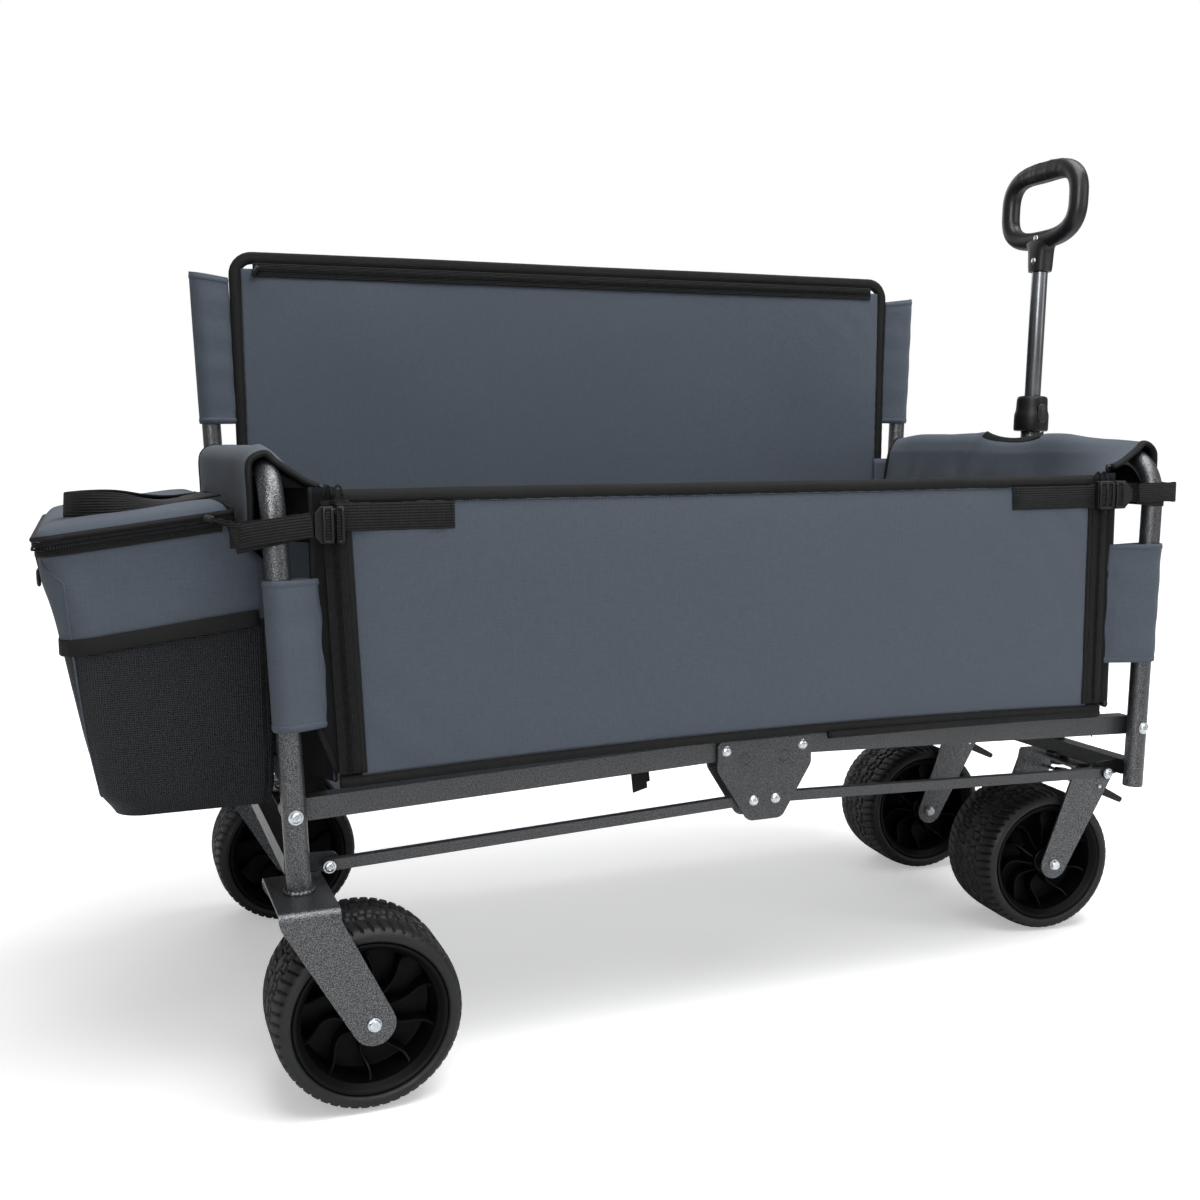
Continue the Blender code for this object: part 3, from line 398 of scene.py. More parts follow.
def grid_uv(p):
    """Lengths along both ways of a grid, in metres."""
    du = np.linalg.norm(np.diff(p, axis=0), axis=-1).mean(1)
    dv = np.linalg.norm(np.diff(p, axis=1), axis=-1).mean(0)
    u = np.concatenate([[0], np.cumsum(du)])
    v = np.concatenate([[0], np.cumsum(dv)])
    return np.stack(np.meshgrid(u, v, indexing="ij"), -1)


def skin(name, p, material, body, thick=0.0015, offset=-1.0):
    """A cloth sheet through a grid of points, given its thickness."""
    nu, nv = p.shape[:2]
    obj = add_mesh(name, p, grid_faces(nu, nv), material, body, grid_uv(p))
    if thick:
        solid = obj.modifiers.new("thickness", "SOLIDIFY")
        solid.thickness = thick
        solid.offset = offset
    return obj


def frames_along(path, across=None):
    """Tangent, width and normal directions along a path."""
    path = np.asarray(path, float)
    tangent = np.gradient(path, axis=0)
    tangent /= np.linalg.norm(tangent, axis=1)[:, None]
    if across is None:
        across = np.zeros_like(path)
        first = np.cross(tangent[0], [0.0, 0.0, 1.0])
        if np.linalg.norm(first) < 0.1:
            first = np.cross(tangent[0], [0.0, 1.0, 0.0])
        across[0] = first / np.linalg.norm(first)
        for i in range(1, len(path)):
            here = across[i - 1] - tangent[i] * np.dot(across[i - 1], tangent[i])
            across[i] = here / np.linalg.norm(here)
    else:
        across = np.broadcast_to(np.asarray(across, float), path.shape).copy()
        across -= tangent * (across * tangent).sum(1)[:, None]
        across /= np.linalg.norm(across, axis=1)[:, None]
    return tangent, across, np.cross(tangent, across)


def loft(name, path, section, material, body, across=None, closed=False):
    """A closed section carried along a path; ends are capped unless the path is closed."""
    path = np.asarray(path, float)
    section = np.asarray(section, float)
    if closed:
        extended = np.concatenate([path[-1:], path, path[:1]])
        wide, normal = (f[1:-1] for f in frames_along(extended, across)[1:])
    else:
        wide, normal = frames_along(path, across)[1:]
    sections = np.broadcast_to(section, (len(path),) + section.shape[-2:])
    p = (path[:, None] + wide[:, None] * sections[..., :1] + normal[:, None] * sections[..., 1:])
    n, k = p.shape[:2]
    faces = [tuple(f) for f in grid_faces(n, k, closed, True)]
    if not closed:
        faces += [tuple(range(k)), tuple(range(n * k - 1, n * k - k - 1, -1))]
    uv = np.stack([np.repeat(run_along(path), k), sections[..., 0].reshape(-1)], -1)
    return recalc(add_mesh(name, p, faces, material, body, uv))


def recalc(obj):
    """Turns all faces outwards."""
    cage = bmesh.new()
    cage.from_mesh(obj.data)
    bmesh.ops.remove_doubles(cage, verts=cage.verts, dist=0.000001)
    bmesh.ops.recalc_face_normals(cage, faces=cage.faces)
    cage.to_mesh(obj.data)
    cage.free()
    return obj


def ring(radius, sides=28):
    a = np.linspace(0, 2 * math.pi, sides, endpoint=False)
    return np.stack([np.cos(a), np.sin(a)], -1) * radius


def band(width, thick, bulge=0.0):
    """The section of a flat strap with rounded edges."""
    w, t = width / 2, thick / 2
    return np.array([(-w, -t * 0.4), (-w + t, -t), (0, -t), (w - t, -t), (w, -t * 0.4),
                     (w, t * 0.4), (w - t, t), (0, t + bulge), (-w + t, t), (-w, t * 0.4)])


def sharp(obj, angle=35.0):
    obj.data.set_sharp_from_angle(angle=math.radians(angle))
    return obj


def bevel(obj, width, segments=3, angle=35.0):
    made = obj.modifiers.new("edges", "BEVEL")
    made.width = width
    made.segments = segments
    made.limit_method = "ANGLE"
    made.angle_limit = math.radians(angle)
    made.harden_normals = True
    return obj


def spline(points, count):
    """Evenly spaced points on a smooth curve through a few."""
    points = np.asarray(points, float)
    padded = np.concatenate([[2 * points[0] - points[1]], points, [2 * points[-1] - points[-2]]])
    out = []
    for i in range(len(points) - 1):
        a, b, c, d = padded[i:i + 4]
        t = np.linspace(0, 1, 24, endpoint=False)[:, None]
        out.append(0.5 * (2 * b + (c - a) * t + (2 * a - 5 * b + 4 * c - d) * t ** 2
                          + (3 * b - a - 3 * c + d) * t ** 3))
    dense = np.concatenate(out + [points[-1:]])
    return points_at(dense, np.linspace(0, run_along(dense)[-1], count))


def plate(name, outline, y0, y1, material, body, width=0.0006, segments=2):
    """A flat outline in XZ given thickness along Y, its edges rounded."""
    outline = np.asarray(outline, float)
    n = len(outline)
    low = np.column_stack([outline[:, 0], np.full(n, y0), outline[:, 1]])
    high = np.column_stack([outline[:, 0], np.full(n, y1), outline[:, 1]])
    faces = [tuple(range(n)), tuple(range(2 * n - 1, n - 1, -1))]
    faces += [(i, (i + 1) % n, n + (i + 1) % n, n + i) for i in range(n)]
    obj = recalc(add_mesh(name, np.concatenate([low, high]), faces, material, body))
    return bevel(obj, width, segments)


def rounded(corners, radii, steps=7):
    """An outline whose corners are rounded, each with its own radius."""
    points = []
    count = len(corners)
    for index, corner in enumerate(corners):
        here = Vector(corner)
        before = (Vector(corners[index - 1]) - here).normalized()
        after = (Vector(corners[(index + 1) % count]) - here).normalized()
        radius = radii[index] if hasattr(radii, "__len__") else radii
        if radius <= 0.0:
            points.append(tuple(here))
            continue
        half = before.angle(after) / 2
        middle = here + (before + after).normalized() * (radius / math.sin(half))
        first = here + before * (radius / math.tan(half)) - middle
        turn = first.angle_signed(here + after * (radius / math.tan(half)) - middle)
        for step in range(steps + 1):
            a = -turn * step / steps
            points.append((middle.x + first.x * math.cos(a) - first.y * math.sin(a),
                           middle.y + first.x * math.sin(a) + first.y * math.cos(a)))
    return points


def lathe(name, profile, steps, material, body, matrix, closed=False):
    """A profile of (radius, height) turned about local Z, then placed."""
    profile = np.asarray(profile, float)
    a = np.linspace(0, 2 * math.pi, steps, endpoint=False)
    p = np.stack([profile[None, :, 0] * np.cos(a)[:, None], profile[None, :, 0] * np.sin(a)[:, None],
                  np.broadcast_to(profile[None, :, 1], (steps, len(profile)))], -1)
    uv = np.stack([np.repeat(a * 0.1, len(profile)), np.tile(profile[:, 1], steps)], -1)
    faces = grid_faces(steps, len(profile), True, closed)
    return sharp(recalc(add_mesh(name, moved(p, matrix), faces, material, body, uv)))


def placed(location, z_axis):
    """A matrix with local Z along z_axis."""
    z = Vector(z_axis).normalized()
    hint = Vector((1, 0, 0)) if abs(z.x) < 0.9 else Vector((0, 0, 1))
    y = z.cross(hint).normalized()
    x = y.cross(z)
    turn = Matrix((x, y, z)).transposed().to_4x4()
    return Matrix.Translation(Vector(location)) @ turn


def merge(name, objects, body):
    """Joins pieces that belong together into one."""
    bpy.context.view_layer.update()
    graph = bpy.context.evaluated_depsgraph_get()
    cage = bmesh.new()
    materials = []
    for obj in objects:
        mesh = bpy.data.meshes.new_from_object(obj.evaluated_get(graph))
        mesh.transform(obj.matrix_world)
        material = obj.data.materials[0]
        if material not in materials:
            materials.append(material)
        index = materials.index(material)
        start = len(cage.faces)
        cage.from_mesh(mesh)
        cage.faces.ensure_lookup_table()
        for face in cage.faces[start:]:
            face.material_index = index
        bpy.data.meshes.remove(mesh)
    for obj in objects:
        bpy.data.objects.remove(obj, do_unlink=True)
    mesh = bpy.data.meshes.new(name)
    cage.to_mesh(mesh)
    cage.free()
    made = bpy.data.objects.new(name, mesh)
    bpy.context.scene.collection.objects.link(made)
    for material in materials:
        mesh.materials.append(material)
    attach(made, body)
    return made


def replace(obj, *nodes, slot=None):
    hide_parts(*nodes)
    return obj


def node(name):
    return bpy.data.objects[name]


def keep_node(name, material, width, segments):
    """A CAD piece of the right shape stays, with softened edges."""
    obj = node(name)
    obj.data.materials.clear()
    obj.data.materials.append(M[material])
    bevel(obj, width, segments)


def small_blocks(name, path, across, size, pitch, material, body, offset=0.0, lift=0.0):
    """A row of small chamfered blocks along a path: stitches or zip teeth."""
    path = np.asarray(path, float)
    run = run_along(path)
    count = max(1, int(run[-1] / pitch))
    at = (np.arange(count) + 0.5) * run[-1] / count
    where = points_at(path, at)
    tangent, wide, normal = frames_along(path, across)
    pick = lambda field: np.stack([np.interp(at, run, field[:, k]) for k in range(3)], -1)
    tangent, wide, normal = pick(tangent), pick(wide), pick(normal)
    # Each block is square up to its shoulders and drawn in at its top.
    square = ((-1, -1), (1, -1), (1, 1), (-1, 1))
    corner = np.array([(x * k, y * k, z) for z, k in ((-1, 1), (0.3, 1), (1, 0.62))
                       for x, y in square], float)
    local = corner * [s / 2 for s in size]
    p = (where[:, None] + wide[:, None] * (offset + local[:, 1])[None, :, None]
         + tangent[:, None] * local[None, :, :1] + normal[:, None] * (lift + local[:, 2])[None, :, None])
    one = [(low + i, low + (i + 1) % 4, low + 4 + (i + 1) % 4, low + 4 + i)
           for low in (0, 4) for i in range(4)] + [(3, 2, 1, 0), (8, 9, 10, 11)]
    faces = (np.arange(count)[:, None, None] * len(corner) + np.array(one)).reshape(-1, 4)
    return recalc(add_mesh(name, p, faces, material, body, smooth=False))


def stitches(name, path, across, body, offset=0.0, lift=0.0004, material="binding", pitch=0.0042):
    return small_blocks(name, path, across, (pitch * 0.68, 0.0008, 0.0007), pitch, material, body,
                        offset, lift=lift)


def strap_piece(name, path, width, thick, material, body, across):
    """A length of webbing or binding along a path."""
    return loft(name, path, band(width, thick), material, body, across)


# ------------------------------------------------------------------ frame tubes
def near_post_path(end):
    foot_z = 0.2259 if end < 0 else 0.2280
    foot = np.array([end * post_x(foot_z), -HALF_WIDTH, foot_z])
    corner = np.array([end * post_x(ARM_Z), -HALF_WIDTH, ARM_Z])
    tip = np.array([end * post_x(ARM_Z), HALF_WIDTH - TUBE_R - 0.0008, ARM_Z])
    down = (foot - corner) / np.linalg.norm(foot - corner)
    along = (tip - corner) / np.linalg.norm(tip - corner)
    middle = corner + (down + along) * BEND_R
    bend = [middle - along * BEND_R * math.cos(a) - down * BEND_R * math.sin(a)
            for a in np.linspace(0, math.pi / 2, 16)]
    return np.array([foot, foot + (corner - foot) * 0.4] + bend + [tip * 0.5 + bend[-1] * 0.5, tip])


def weld_bead(name, centre, radius, body):
    """The weld that joins a tube's foot to the fork's crown."""
    thick = 0.0029
    a = np.linspace(0, 2 * math.pi, 72, endpoint=False)
    ripple = 1 + 0.16 * np.sin(a * 19) + 0.14 * np.sin(a * 5 + 1)
    path = np.array(centre) + route(np.cos(a) * radius, np.sin(a) * radius, 0.0)
    sections = ring(1.0, 10)[None] * (thick * ripple)[:, None, None]
    return loft(name, path, sections, "frame", body, closed=True)


def pan_head(name, centre, side, radius, body):
    """A cross-recessed pan head on its washer, facing along Y."""
    rings, steps = 18, 64
    r = np.linspace(0.0, 1.0, rings)[:, None] * np.ones(steps)
    a = np.linspace(0, 2 * math.pi, steps, endpoint=False)[None] * np.ones((rings, 1)) + 0.5
    dome = radius * 0.50 * np.sqrt(np.clip(1 - (r * 0.96) ** 2.6, 0, 1)) + 0.0010
    u, v = r * np.cos(a), r * np.sin(a)
    arm = np.minimum(np.abs(u), np.abs(v))
    slot = smoothstep(0.19 - arm, 0.0, 0.08) * smoothstep(0.56 - r, 0.0, 0.12)
    height = dome - slot * radius * 0.34
    p = np.stack([centre[0] + u * radius * 0.86, centre[1] + side * height,
                  centre[2] + v * radius * 0.86], -1)
    head = recalc(add_mesh(name, p, grid_faces(rings, steps, False, True), "zinc", body))
    skirt = lathe(name + "_washer", [(radius * 0.80, 0.0017), (radius * 0.86, 0.0011),
                                     (radius * 1.12, 0.0010), (radius * 1.16, 0.0006),
                                     (radius * 1.16, 0.0001), (0.0006, 0.0001)], 48, "zinc", body,
                  placed(centre, (0, side, 0)))
    return merge(name, [head, skirt], body)


def hex_head(name, centre, direction, radius, height, body):
    """A hexagonal head with a washer, chamfered like a turned one."""
    place = placed(centre, direction)
    a = np.linspace(0, 2 * math.pi, 96, endpoint=False)
    flat = radius * math.cos(math.pi / 6) / np.cos((a + math.pi / 6) % (math.pi / 3) - math.pi / 6)
    low, high, chamfer = 0.0012, height, radius * 0.16
    shrink = np.clip((flat - radius * 0.88) / (radius * 0.12), 0, 1)
    levels = [(flat, np.full(96, low)), (flat, high - chamfer * (0.25 + 0.75 * shrink)),
              (np.minimum(flat, radius * 0.84), np.full(96, high)),
              (np.full(96, radius * 0.30), np.full(96, high)),
              (np.full(96, radius * 0.26), np.full(96, high - 0.0004)),
              (np.full(96, 0.0), np.full(96, high - 0.0005))]
    p = np.stack([np.stack([r * np.cos(a), r * np.sin(a), z], -1) for r, z in levels])
    faces = grid_faces(len(levels), 96, False, True)
    head = sharp(recalc(add_mesh(name, moved(p, place), faces, "zinc", body)), 25)
    skirt = lathe(name + "_washer", [(radius * 0.6, 0.0014), (radius * 1.10, 0.0012),
                                     (radius * 1.14, 0.0008), (radius * 1.14, 0.0001),
                                     (radius * 0.3, 0.0001)], 48, "zinc", body, place)
    return merge(name, [head, skirt], body)


for word, end in ENDS.items():
    body = word + "_frame"
    post = loft(word + "_near_tube", near_post_path(end), ring(TUBE_R, 36), "frame", body)
    replace(bevel(post, 0.0008, 2, 60), word + "_near_post", slot="frame_paint")
    foot_z = 0.2259 if end < 0 else 0.2280
    zs = np.array([foot_z, 0.45, 0.70, 0.905, 0.912])
    straight = route(end * post_x(zs), HALF_WIDTH, zs)
    post = loft(word + "_far_tube", straight, ring(TUBE_R, 36), "frame", body)
    replace(bevel(post, 0.0008, 2, 60), word + "_far_post", slot="frame_paint")
    if end < 0:
        for side_word, side in SIDES.items():
            weld_bead(word + "_" + side_word + "_weld", (end * post_x(0.2275), side * HALF_WIDTH,
                                                         0.2271), 0.0134, body)
    for side_word, side in SIDES.items():
        seat = (end * HALF_LENGTH, side * (HALF_WIDTH + TUBE_R - 0.0003), BOLT_Z)
        head = pan_head(word + "_" + side_word + "_bolt_head", seat, side, 0.0067, body)
        shank = lathe("shank", [(0.0, 0.0005), (0.0029, 0.0005), (0.0029, -0.046), (0.0022, -0.0465),
                                (0.0, -0.0465)], 24, "zinc", body, placed(seat, (0, side, 0)))
        bolt = merge(word + "_" + side_word + "_bolt", [head, shank], body)
        replace(bolt, word + "_" + side_word + "_rail_bolt", slot="zinc")
    keep_node(word + "_cross_beam", "beam", 0.0011, 3)
    for side_word, side in SIDES.items():
        seat = (end * (HALF_LENGTH - 0.036), side * 0.2868, BOLT_Z - 0.0624)
        pan_head(word + "_" + side_word + "_rod_bolt_head", seat, side, 0.0060, body)
    for side_word in SIDES:
        keep_node(word + "_" + side_word + "_rail", "flat_frame", 0.0030, 4)
        keep_node(word + "_" + side_word + "_rod", "flat_frame", 0.0014, 3)


# ------------------------------------------------------------------ hinge plates
def hinge_outline():
    half_top, half_foot, top, shoulder, foot = 0.062, 0.0225, 0.3375, 0.3030, 0.2400
    return rounded([(-half_top, top), (-half_top, shoulder), (-half_foot, foot),
                    (half_foot, foot), (half_top, shoulder), (half_top, top)],
                   [0.006, 0.014, 0.013, 0.013, 0.014, 0.006], 9)


for word, side in SIDES.items():
    pieces = []
    for y in (0.2867, 0.2583):
        pieces.append(plate("sheet", hinge_outline(), side * (y - 0.0014), side * (y + 0.0014),
                            "flat_frame", "centre_link", 0.0006))
    for end in ENDS.values():
        for x, z in ((0.0505, 0.3264), (0.0145, 0.2640)):
            centre = (end * x, side * 0.2881, z)
            dome = [(0.0, 0.0037), (0.0022, 0.0035), (0.0042, 0.0027), (0.0056, 0.0014),
                    (0.0063, 0.0002), (0.0068, -0.0004), (0.0030, -0.0004), (0.0030, -0.0290),
                    (0.0052, -0.0313), (0.0052, -0.0334), (0.0, -0.0336)]
            pieces.append(lathe("rivet", dome, 32, "zinc", "centre_link",
                                placed(centre, (0, side, 0))))
    for x in (-0.026, 0.026):
        for start in (20, 200):
            a = np.radians(np.linspace(start, start + 125, 15))
            path = route(x + 0.0072 * np.cos(a), side * 0.2882, 0.3140 + 0.0062 * np.sin(a))
            pieces.append(loft("mark", path, ring(0.0010, 8), "flat_frame", "centre_link"))
    replace(merge(word + "_hinge_pair", pieces, "centre_link"), word + "_hinge_plates",
            slot="frame_paint")


# ------------------------------------------------------------------ forks
def edges_at(outline, z):
    """The left and right of a convex outline at a height."""
    points = np.asarray(outline)
    xs = []
    for (x0, z0), (x1, z1) in zip(points, np.roll(points, -1, axis=0)):
        if (z0 - z) * (z1 - z) <= 0 and abs(z1 - z0) > 1e-9:
            xs.append(x0 + (x1 - x0) * (z - z0) / (z1 - z0))
    return min(xs), max(xs)


def fork_shape(crown, crown_top, axle, end_r):
    left, right = crown
    shoulder = crown_top - 0.013
    along = Vector(((left + right) / 2 - axle[0], shoulder - axle[1])).normalized()
    start = math.atan2(along.x, -along.y)
    foot = [(axle[0] + end_r * math.cos(start + math.pi * i / 40),
             axle[1] + end_r * math.sin(start + math.pi * i / 40)) for i in range(41)]
    return foot + [(right, shoulder), (right, crown_top), (left, crown_top), (left, shoulder)]


def fork(name, crown, crown_top, axle, end_r, local, body):
    """A channel bent from plate, with rounded bends, cut to the fork's outline."""
    shape = fork_shape(crown, crown_top, axle, end_r)
    half, bend, wall = 0.066, 0.0095, 0.0036
    low = axle[1] - end_r
    t = np.linspace(0, 1, 46)
    zs = low + 0.00002 + (crown_top - bend - low) * (1 - np.cos(t * math.pi / 2)) ** 1.3
    leg = np.stack([np.full(len(zs), -half), zs], -1)
    a = np.linspace(math.pi, math.pi / 2, 10)[1:]
    corner = np.stack([-half + bend + bend * np.cos(a), crown_top - bend + bend * np.sin(a)], -1)
    half_path = np.concatenate([leg, corner])
    path = np.concatenate([half_path, np.linspace(half_path[-1], (half - bend, crown_top), 9)[1:-1],
                           (half_path * (-1, 1))[::-1]])
    widths = np.array([edges_at(shape, min(z, crown_top - 1e-6)) for z in path[:, 1]])
    v = np.linspace(0, 1, 17)
    x = widths[:, :1] + (widths[:, 1:] - widths[:, :1]) * v[None]
    p = route(x, path[:, :1], path[:, 1:])
    obj = add_mesh(name, moved(p, local), grid_faces(len(path), 17), "frame", body)
    solid = obj.modifiers.new("plate", "SOLIDIFY")
    solid.thickness = wall
    solid.offset = 1.0 if local.determinant() > 0 else -1.0
    bevel(obj, 0.0007, 2, 50)
    return obj


def wheel_frames():
    """Where each wheel turns: node prefix, body, its place and its fork's own frame."""
    out = []
    for word, side in SIDES.items():
        out.append(("rear_" + word, "rear_" + word + "_wheel",
                    Matrix.Translation((-0.485, side * HALF_WIDTH, WHEEL_Z)), "rear_frame",
                    Matrix.Translation((0.0, side * HALF_WIDTH, 0.0))))
        turn = math.radians(-5.3 if word == "near" else -4.6)
        base = Matrix.Translation((0.549, side * 0.1465, 0.0)) @ Matrix.Rotation(turn, 4, "Z")
        out.append((word + "_caster", word + "_caster_wheel",
                    base @ Matrix.Translation((-0.0465, 0.0, WHEEL_Z)), word + "_caster", base))
    return out


# ------------------------------------------------------------------ wheels
def tyre_mesh():
    """Tyre with a grooved tread and shoulder sipes; width along Y."""
    half = [(0.0752, 0.0418), (0.0770, 0.0452), (0.0803, 0.0494), (0.0812, 0.0509), (0.0816, 0.0532),
            (0.0826, 0.0548), (0.0840, 0.0560), (0.0858, 0.0567), (0.0880, 0.0566), (0.0902, 0.0559),
            (0.0922, 0.0545), (0.0936, 0.0532), (0.0948, 0.0517), (0.0958, 0.0499), (0.0966, 0.0475),
            (0.0972, 0.0446), (0.0977, 0.0413), (0.0981, 0.0378), (0.0985, 0.0340), (0.0988, 0.0300),
            (0.0990, 0.0258), (0.0990, 0.0212), (0.0990, 0.0166), (0.0990, 0.0120), (0.0990, 0.0076),
            (0.0990, 0.0038)]
    profile = np.array(half + [(0.0990, 0.0)] + [(r, -y) for r, y in reversed(half)])
    steps = 432
    a = np.linspace(0, 2 * math.pi, steps, endpoint=False)[:, None]
    r, y = profile[None, :, 0] + 0 * a, profile[None, :, 1] + 0 * a
    turns = a / (2 * math.pi)
    outer = smoothstep(r, 0.0925, 0.0950)
    # Slanted sipes over the shoulders.
    phase = (turns * 54 + np.abs(y) * 26.0 + np.where(y > 0, 0.5, 0.0)) % 1.0
    sipe = smoothstep(0.5 - np.abs(phase - 0.5), 0.34, 0.44) * smoothstep(np.abs(y), 0.028, 0.032)
    # Two zigzag grooves round the crown with short cross cuts between them.
    zig = 0.0035 * np.abs(((turns * 27) % 1.0) * 4 - 2) - 0.0035
    groove = np.maximum(smoothstep(0.0030 - np.abs(np.abs(y) - 0.0245 - zig), 0.0, 0.0014),
                        smoothstep(0.0024 - np.abs(np.abs(y) - 0.0085 - zig), 0.0, 0.0012))
    phase = (turns * 54 + np.abs(y) * 12.0) % 1.0
    cut = (smoothstep(0.5 - np.abs(phase - 0.5), 0.38, 0.46) * smoothstep(np.abs(y), 0.010, 0.012)
           * (1 - smoothstep(np.abs(y), 0.022, 0.024)))
    depth = np.maximum(np.maximum(sipe, groove), cut) * 0.0024 * outer
    y = y - np.sign(y) * depth * 0.35
    r = r - depth
    p = np.stack([r * np.cos(a), y, r * np.sin(a)], -1)
    faces = grid_faces(steps, len(profile), True, True)
    mesh = bpy.data.meshes.new("tyre")
    mesh.from_pydata(p.reshape(-1, 3).tolist(), [], faces.tolist())
    layer = mesh.uv_layers.new(name="UVMap")
    loops = np.zeros(len(mesh.loops), int)
    mesh.loops.foreach_get("vertex_index", loops)
    uv = np.stack([a * 0.099 + 0 * y, profile[None, :, 1] + 0 * a], -1).reshape(-1, 2)
    layer.data.foreach_set("uv", uv[loops].ravel())
    return mesh


def finish_mesh(mesh, material, angle=30.0):
    cage = bmesh.new()
    cage.from_mesh(mesh)
    bmesh.ops.remove_doubles(cage, verts=cage.verts, dist=0.00001)
    bmesh.ops.recalc_face_normals(cage, faces=cage.faces)
    cage.to_mesh(mesh)
    cage.free()
    mesh.polygons.foreach_set("use_smooth", [True] * len(mesh.polygons))
    mesh.set_sharp_from_angle(angle=math.radians(angle))
    mesh.materials.append(M[material])
    return mesh


def turned_part(cage, profile):
    """Adds a closed profile of (radius, y) turned about Y to a bmesh."""
    rows, steps = [], 144
    for i in range(steps):
        a = 2 * math.pi * i / steps
        rows.append([cage.verts.new((r * math.cos(a), y, r * math.sin(a))) for r, y in profile])
    n = len(profile)
    for i in range(steps):
        for j in range(n):
            cage.faces.new((rows[i][j], rows[(i + 1) % steps][j], rows[(i + 1) % steps][(j + 1) % n],
                            rows[i][(j + 1) % n]))


def rim_mesh():
    """Rim with a polished lip, a deep barrel, S-shaped ribs on both sides of its disc and a hub."""
    cage = bmesh.new()
    half = [(0.0735, 0.0415), (0.0752, 0.0468), (0.0782, 0.0500), (0.0800, 0.0512), (0.0806, 0.0524),
            (0.0803, 0.0537), (0.0794, 0.0543), (0.0782, 0.0541), (0.0768, 0.0530), (0.0745, 0.0497),
            (0.0722, 0.0470), (0.0710, 0.0455), (0.0703, 0.0400), (0.0700, 0.0200), (0.0697, 0.0150),
            (0.0680, 0.0115), (0.0660, 0.0106), (0.0400, 0.0098), (0.0215, 0.0106), (0.0190, 0.0120),
            (0.0182, 0.0150), (0.0178, 0.0420), (0.0176, 0.0460), (0.0160, 0.0470), (0.0125, 0.0470),
            (0.0118, 0.0480), (0.0115, 0.0596), (0.0110, 0.0604), (0.0056, 0.0605)]
    turned_part(cage, half + [(r, -y) for r, y in reversed(half)])
    for side in (1, -1):
        for k in range(10):
            start = 2 * math.pi * (k + (0.5 if side < 0 else 0.0)) / 10
            t = np.linspace(0, 1, 22)
            radius = 0.0172 + (0.0712 - 0.0172) * t
            angle = start + side * (0.15 * np.sin(t * math.pi * 1.6) + 0.16 * t)
            x, z = radius * np.cos(angle), radius * np.sin(angle)
            dx, dz = np.gradient(x), np.gradient(z)
            length = np.hypot(dx, dz)
            nx, nz = -dz / length, dx / length
            thick = 0.00105 + 0.0005 * (1 - t) ** 2 + 0.0006 * t ** 3
            top = 0.0420 - 0.017 * np.sin(t * math.pi) ** 0.8
            rows = []
            for i in range(22):
                section = [(-1.25, 0.0092), (-1.0, top[i] - 0.0008), (-0.6, top[i]), (0.6, top[i]),
                           (1.0, top[i] - 0.0008), (1.25, 0.0092)]
                rows.append([cage.verts.new((x[i] + nx[i] * thick[i] * s, side * y,
                                             z[i] + nz[i] * thick[i] * s)) for s, y in section])
            for i in range(21):
                for j in range(6):
                    cage.faces.new((rows[i][j], rows[i + 1][j], rows[i + 1][(j + 1) % 6],
                                    rows[i][(j + 1) % 6]))
            cage.faces.new(rows[0])
            cage.faces.new(rows[-1])
    mesh = bpy.data.meshes.new("rim")
    cage.to_mesh(mesh)
    cage.free()
    return mesh


TYRE = finish_mesh(tyre_mesh(), "tyre", 28.0)
RIM = finish_mesh(rim_mesh(), "rim")
for prefix, body, place, fork_body, fork_place in wheel_frames():
    for kind, mesh in (("tyre", TYRE), ("rim", RIM)):
        obj = bpy.data.objects.new(prefix + "_" + kind + "_look", mesh)
        bpy.context.scene.collection.objects.link(obj)
        obj.matrix_world = Matrix.Translation((MID, 0, 0)) @ place
        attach(obj, body)
        replace(obj, prefix + "_" + kind, slot=("tyre_rubber" if kind == "tyre" else "rim_plastic"))
    if prefix.startswith("rear"):
        looks = fork(prefix + "_fork_look", (-0.576, -0.515), 0.2255, (-0.485, WHEEL_Z), 0.0225,
                     fork_place, fork_body)
    else:
        looks = fork(prefix + "_fork_look", (-0.020, 0.045), 0.2366, (-0.0465, WHEEL_Z), 0.0195,
                     fork_place, fork_body)
        pin = lathe("pedal_pin_look", [(0.0, 0.068), (0.0016, 0.068), (0.0024, 0.0675),
                                       (0.0024, -0.0675), (0.0016, -0.068), (0.0, -0.068)], 24,
                    "zinc", fork_body, fork_place @ placed((0.022, 0.0, 0.2050), (0, 1, 0)))
        looks = merge(prefix + "_fork_and_pin", [looks, pin], fork_body)
    replace(looks, prefix + "_fork", slot="frame_paint")
    heads = []
    for side in (-1, 1):
        seat = place @ Vector((0.0, side * 0.0663, 0.0))
        direction = (place.to_3x3() @ Vector((0, side, 0)))
        heads.append(hex_head("head", tuple(seat), tuple(direction), 0.0064, 0.0056, fork_body))
    heads.append(lathe("bar", [(0.0, 0.0665), (0.0048, 0.0665), (0.0048, -0.0665), (0.0, -0.0665)],
                       32, "zinc", fork_body,
                       placed(tuple(place.to_translation()), tuple(place.to_3x3() @ Vector((0, 1, 0))))))
    replace(merge(prefix + "_axle_look", heads, fork_body), prefix + "_axle", slot="zinc")
for word in SIDES:
    keep_node(word + "_brake_pedal", "plastic", 0.0012, 3)


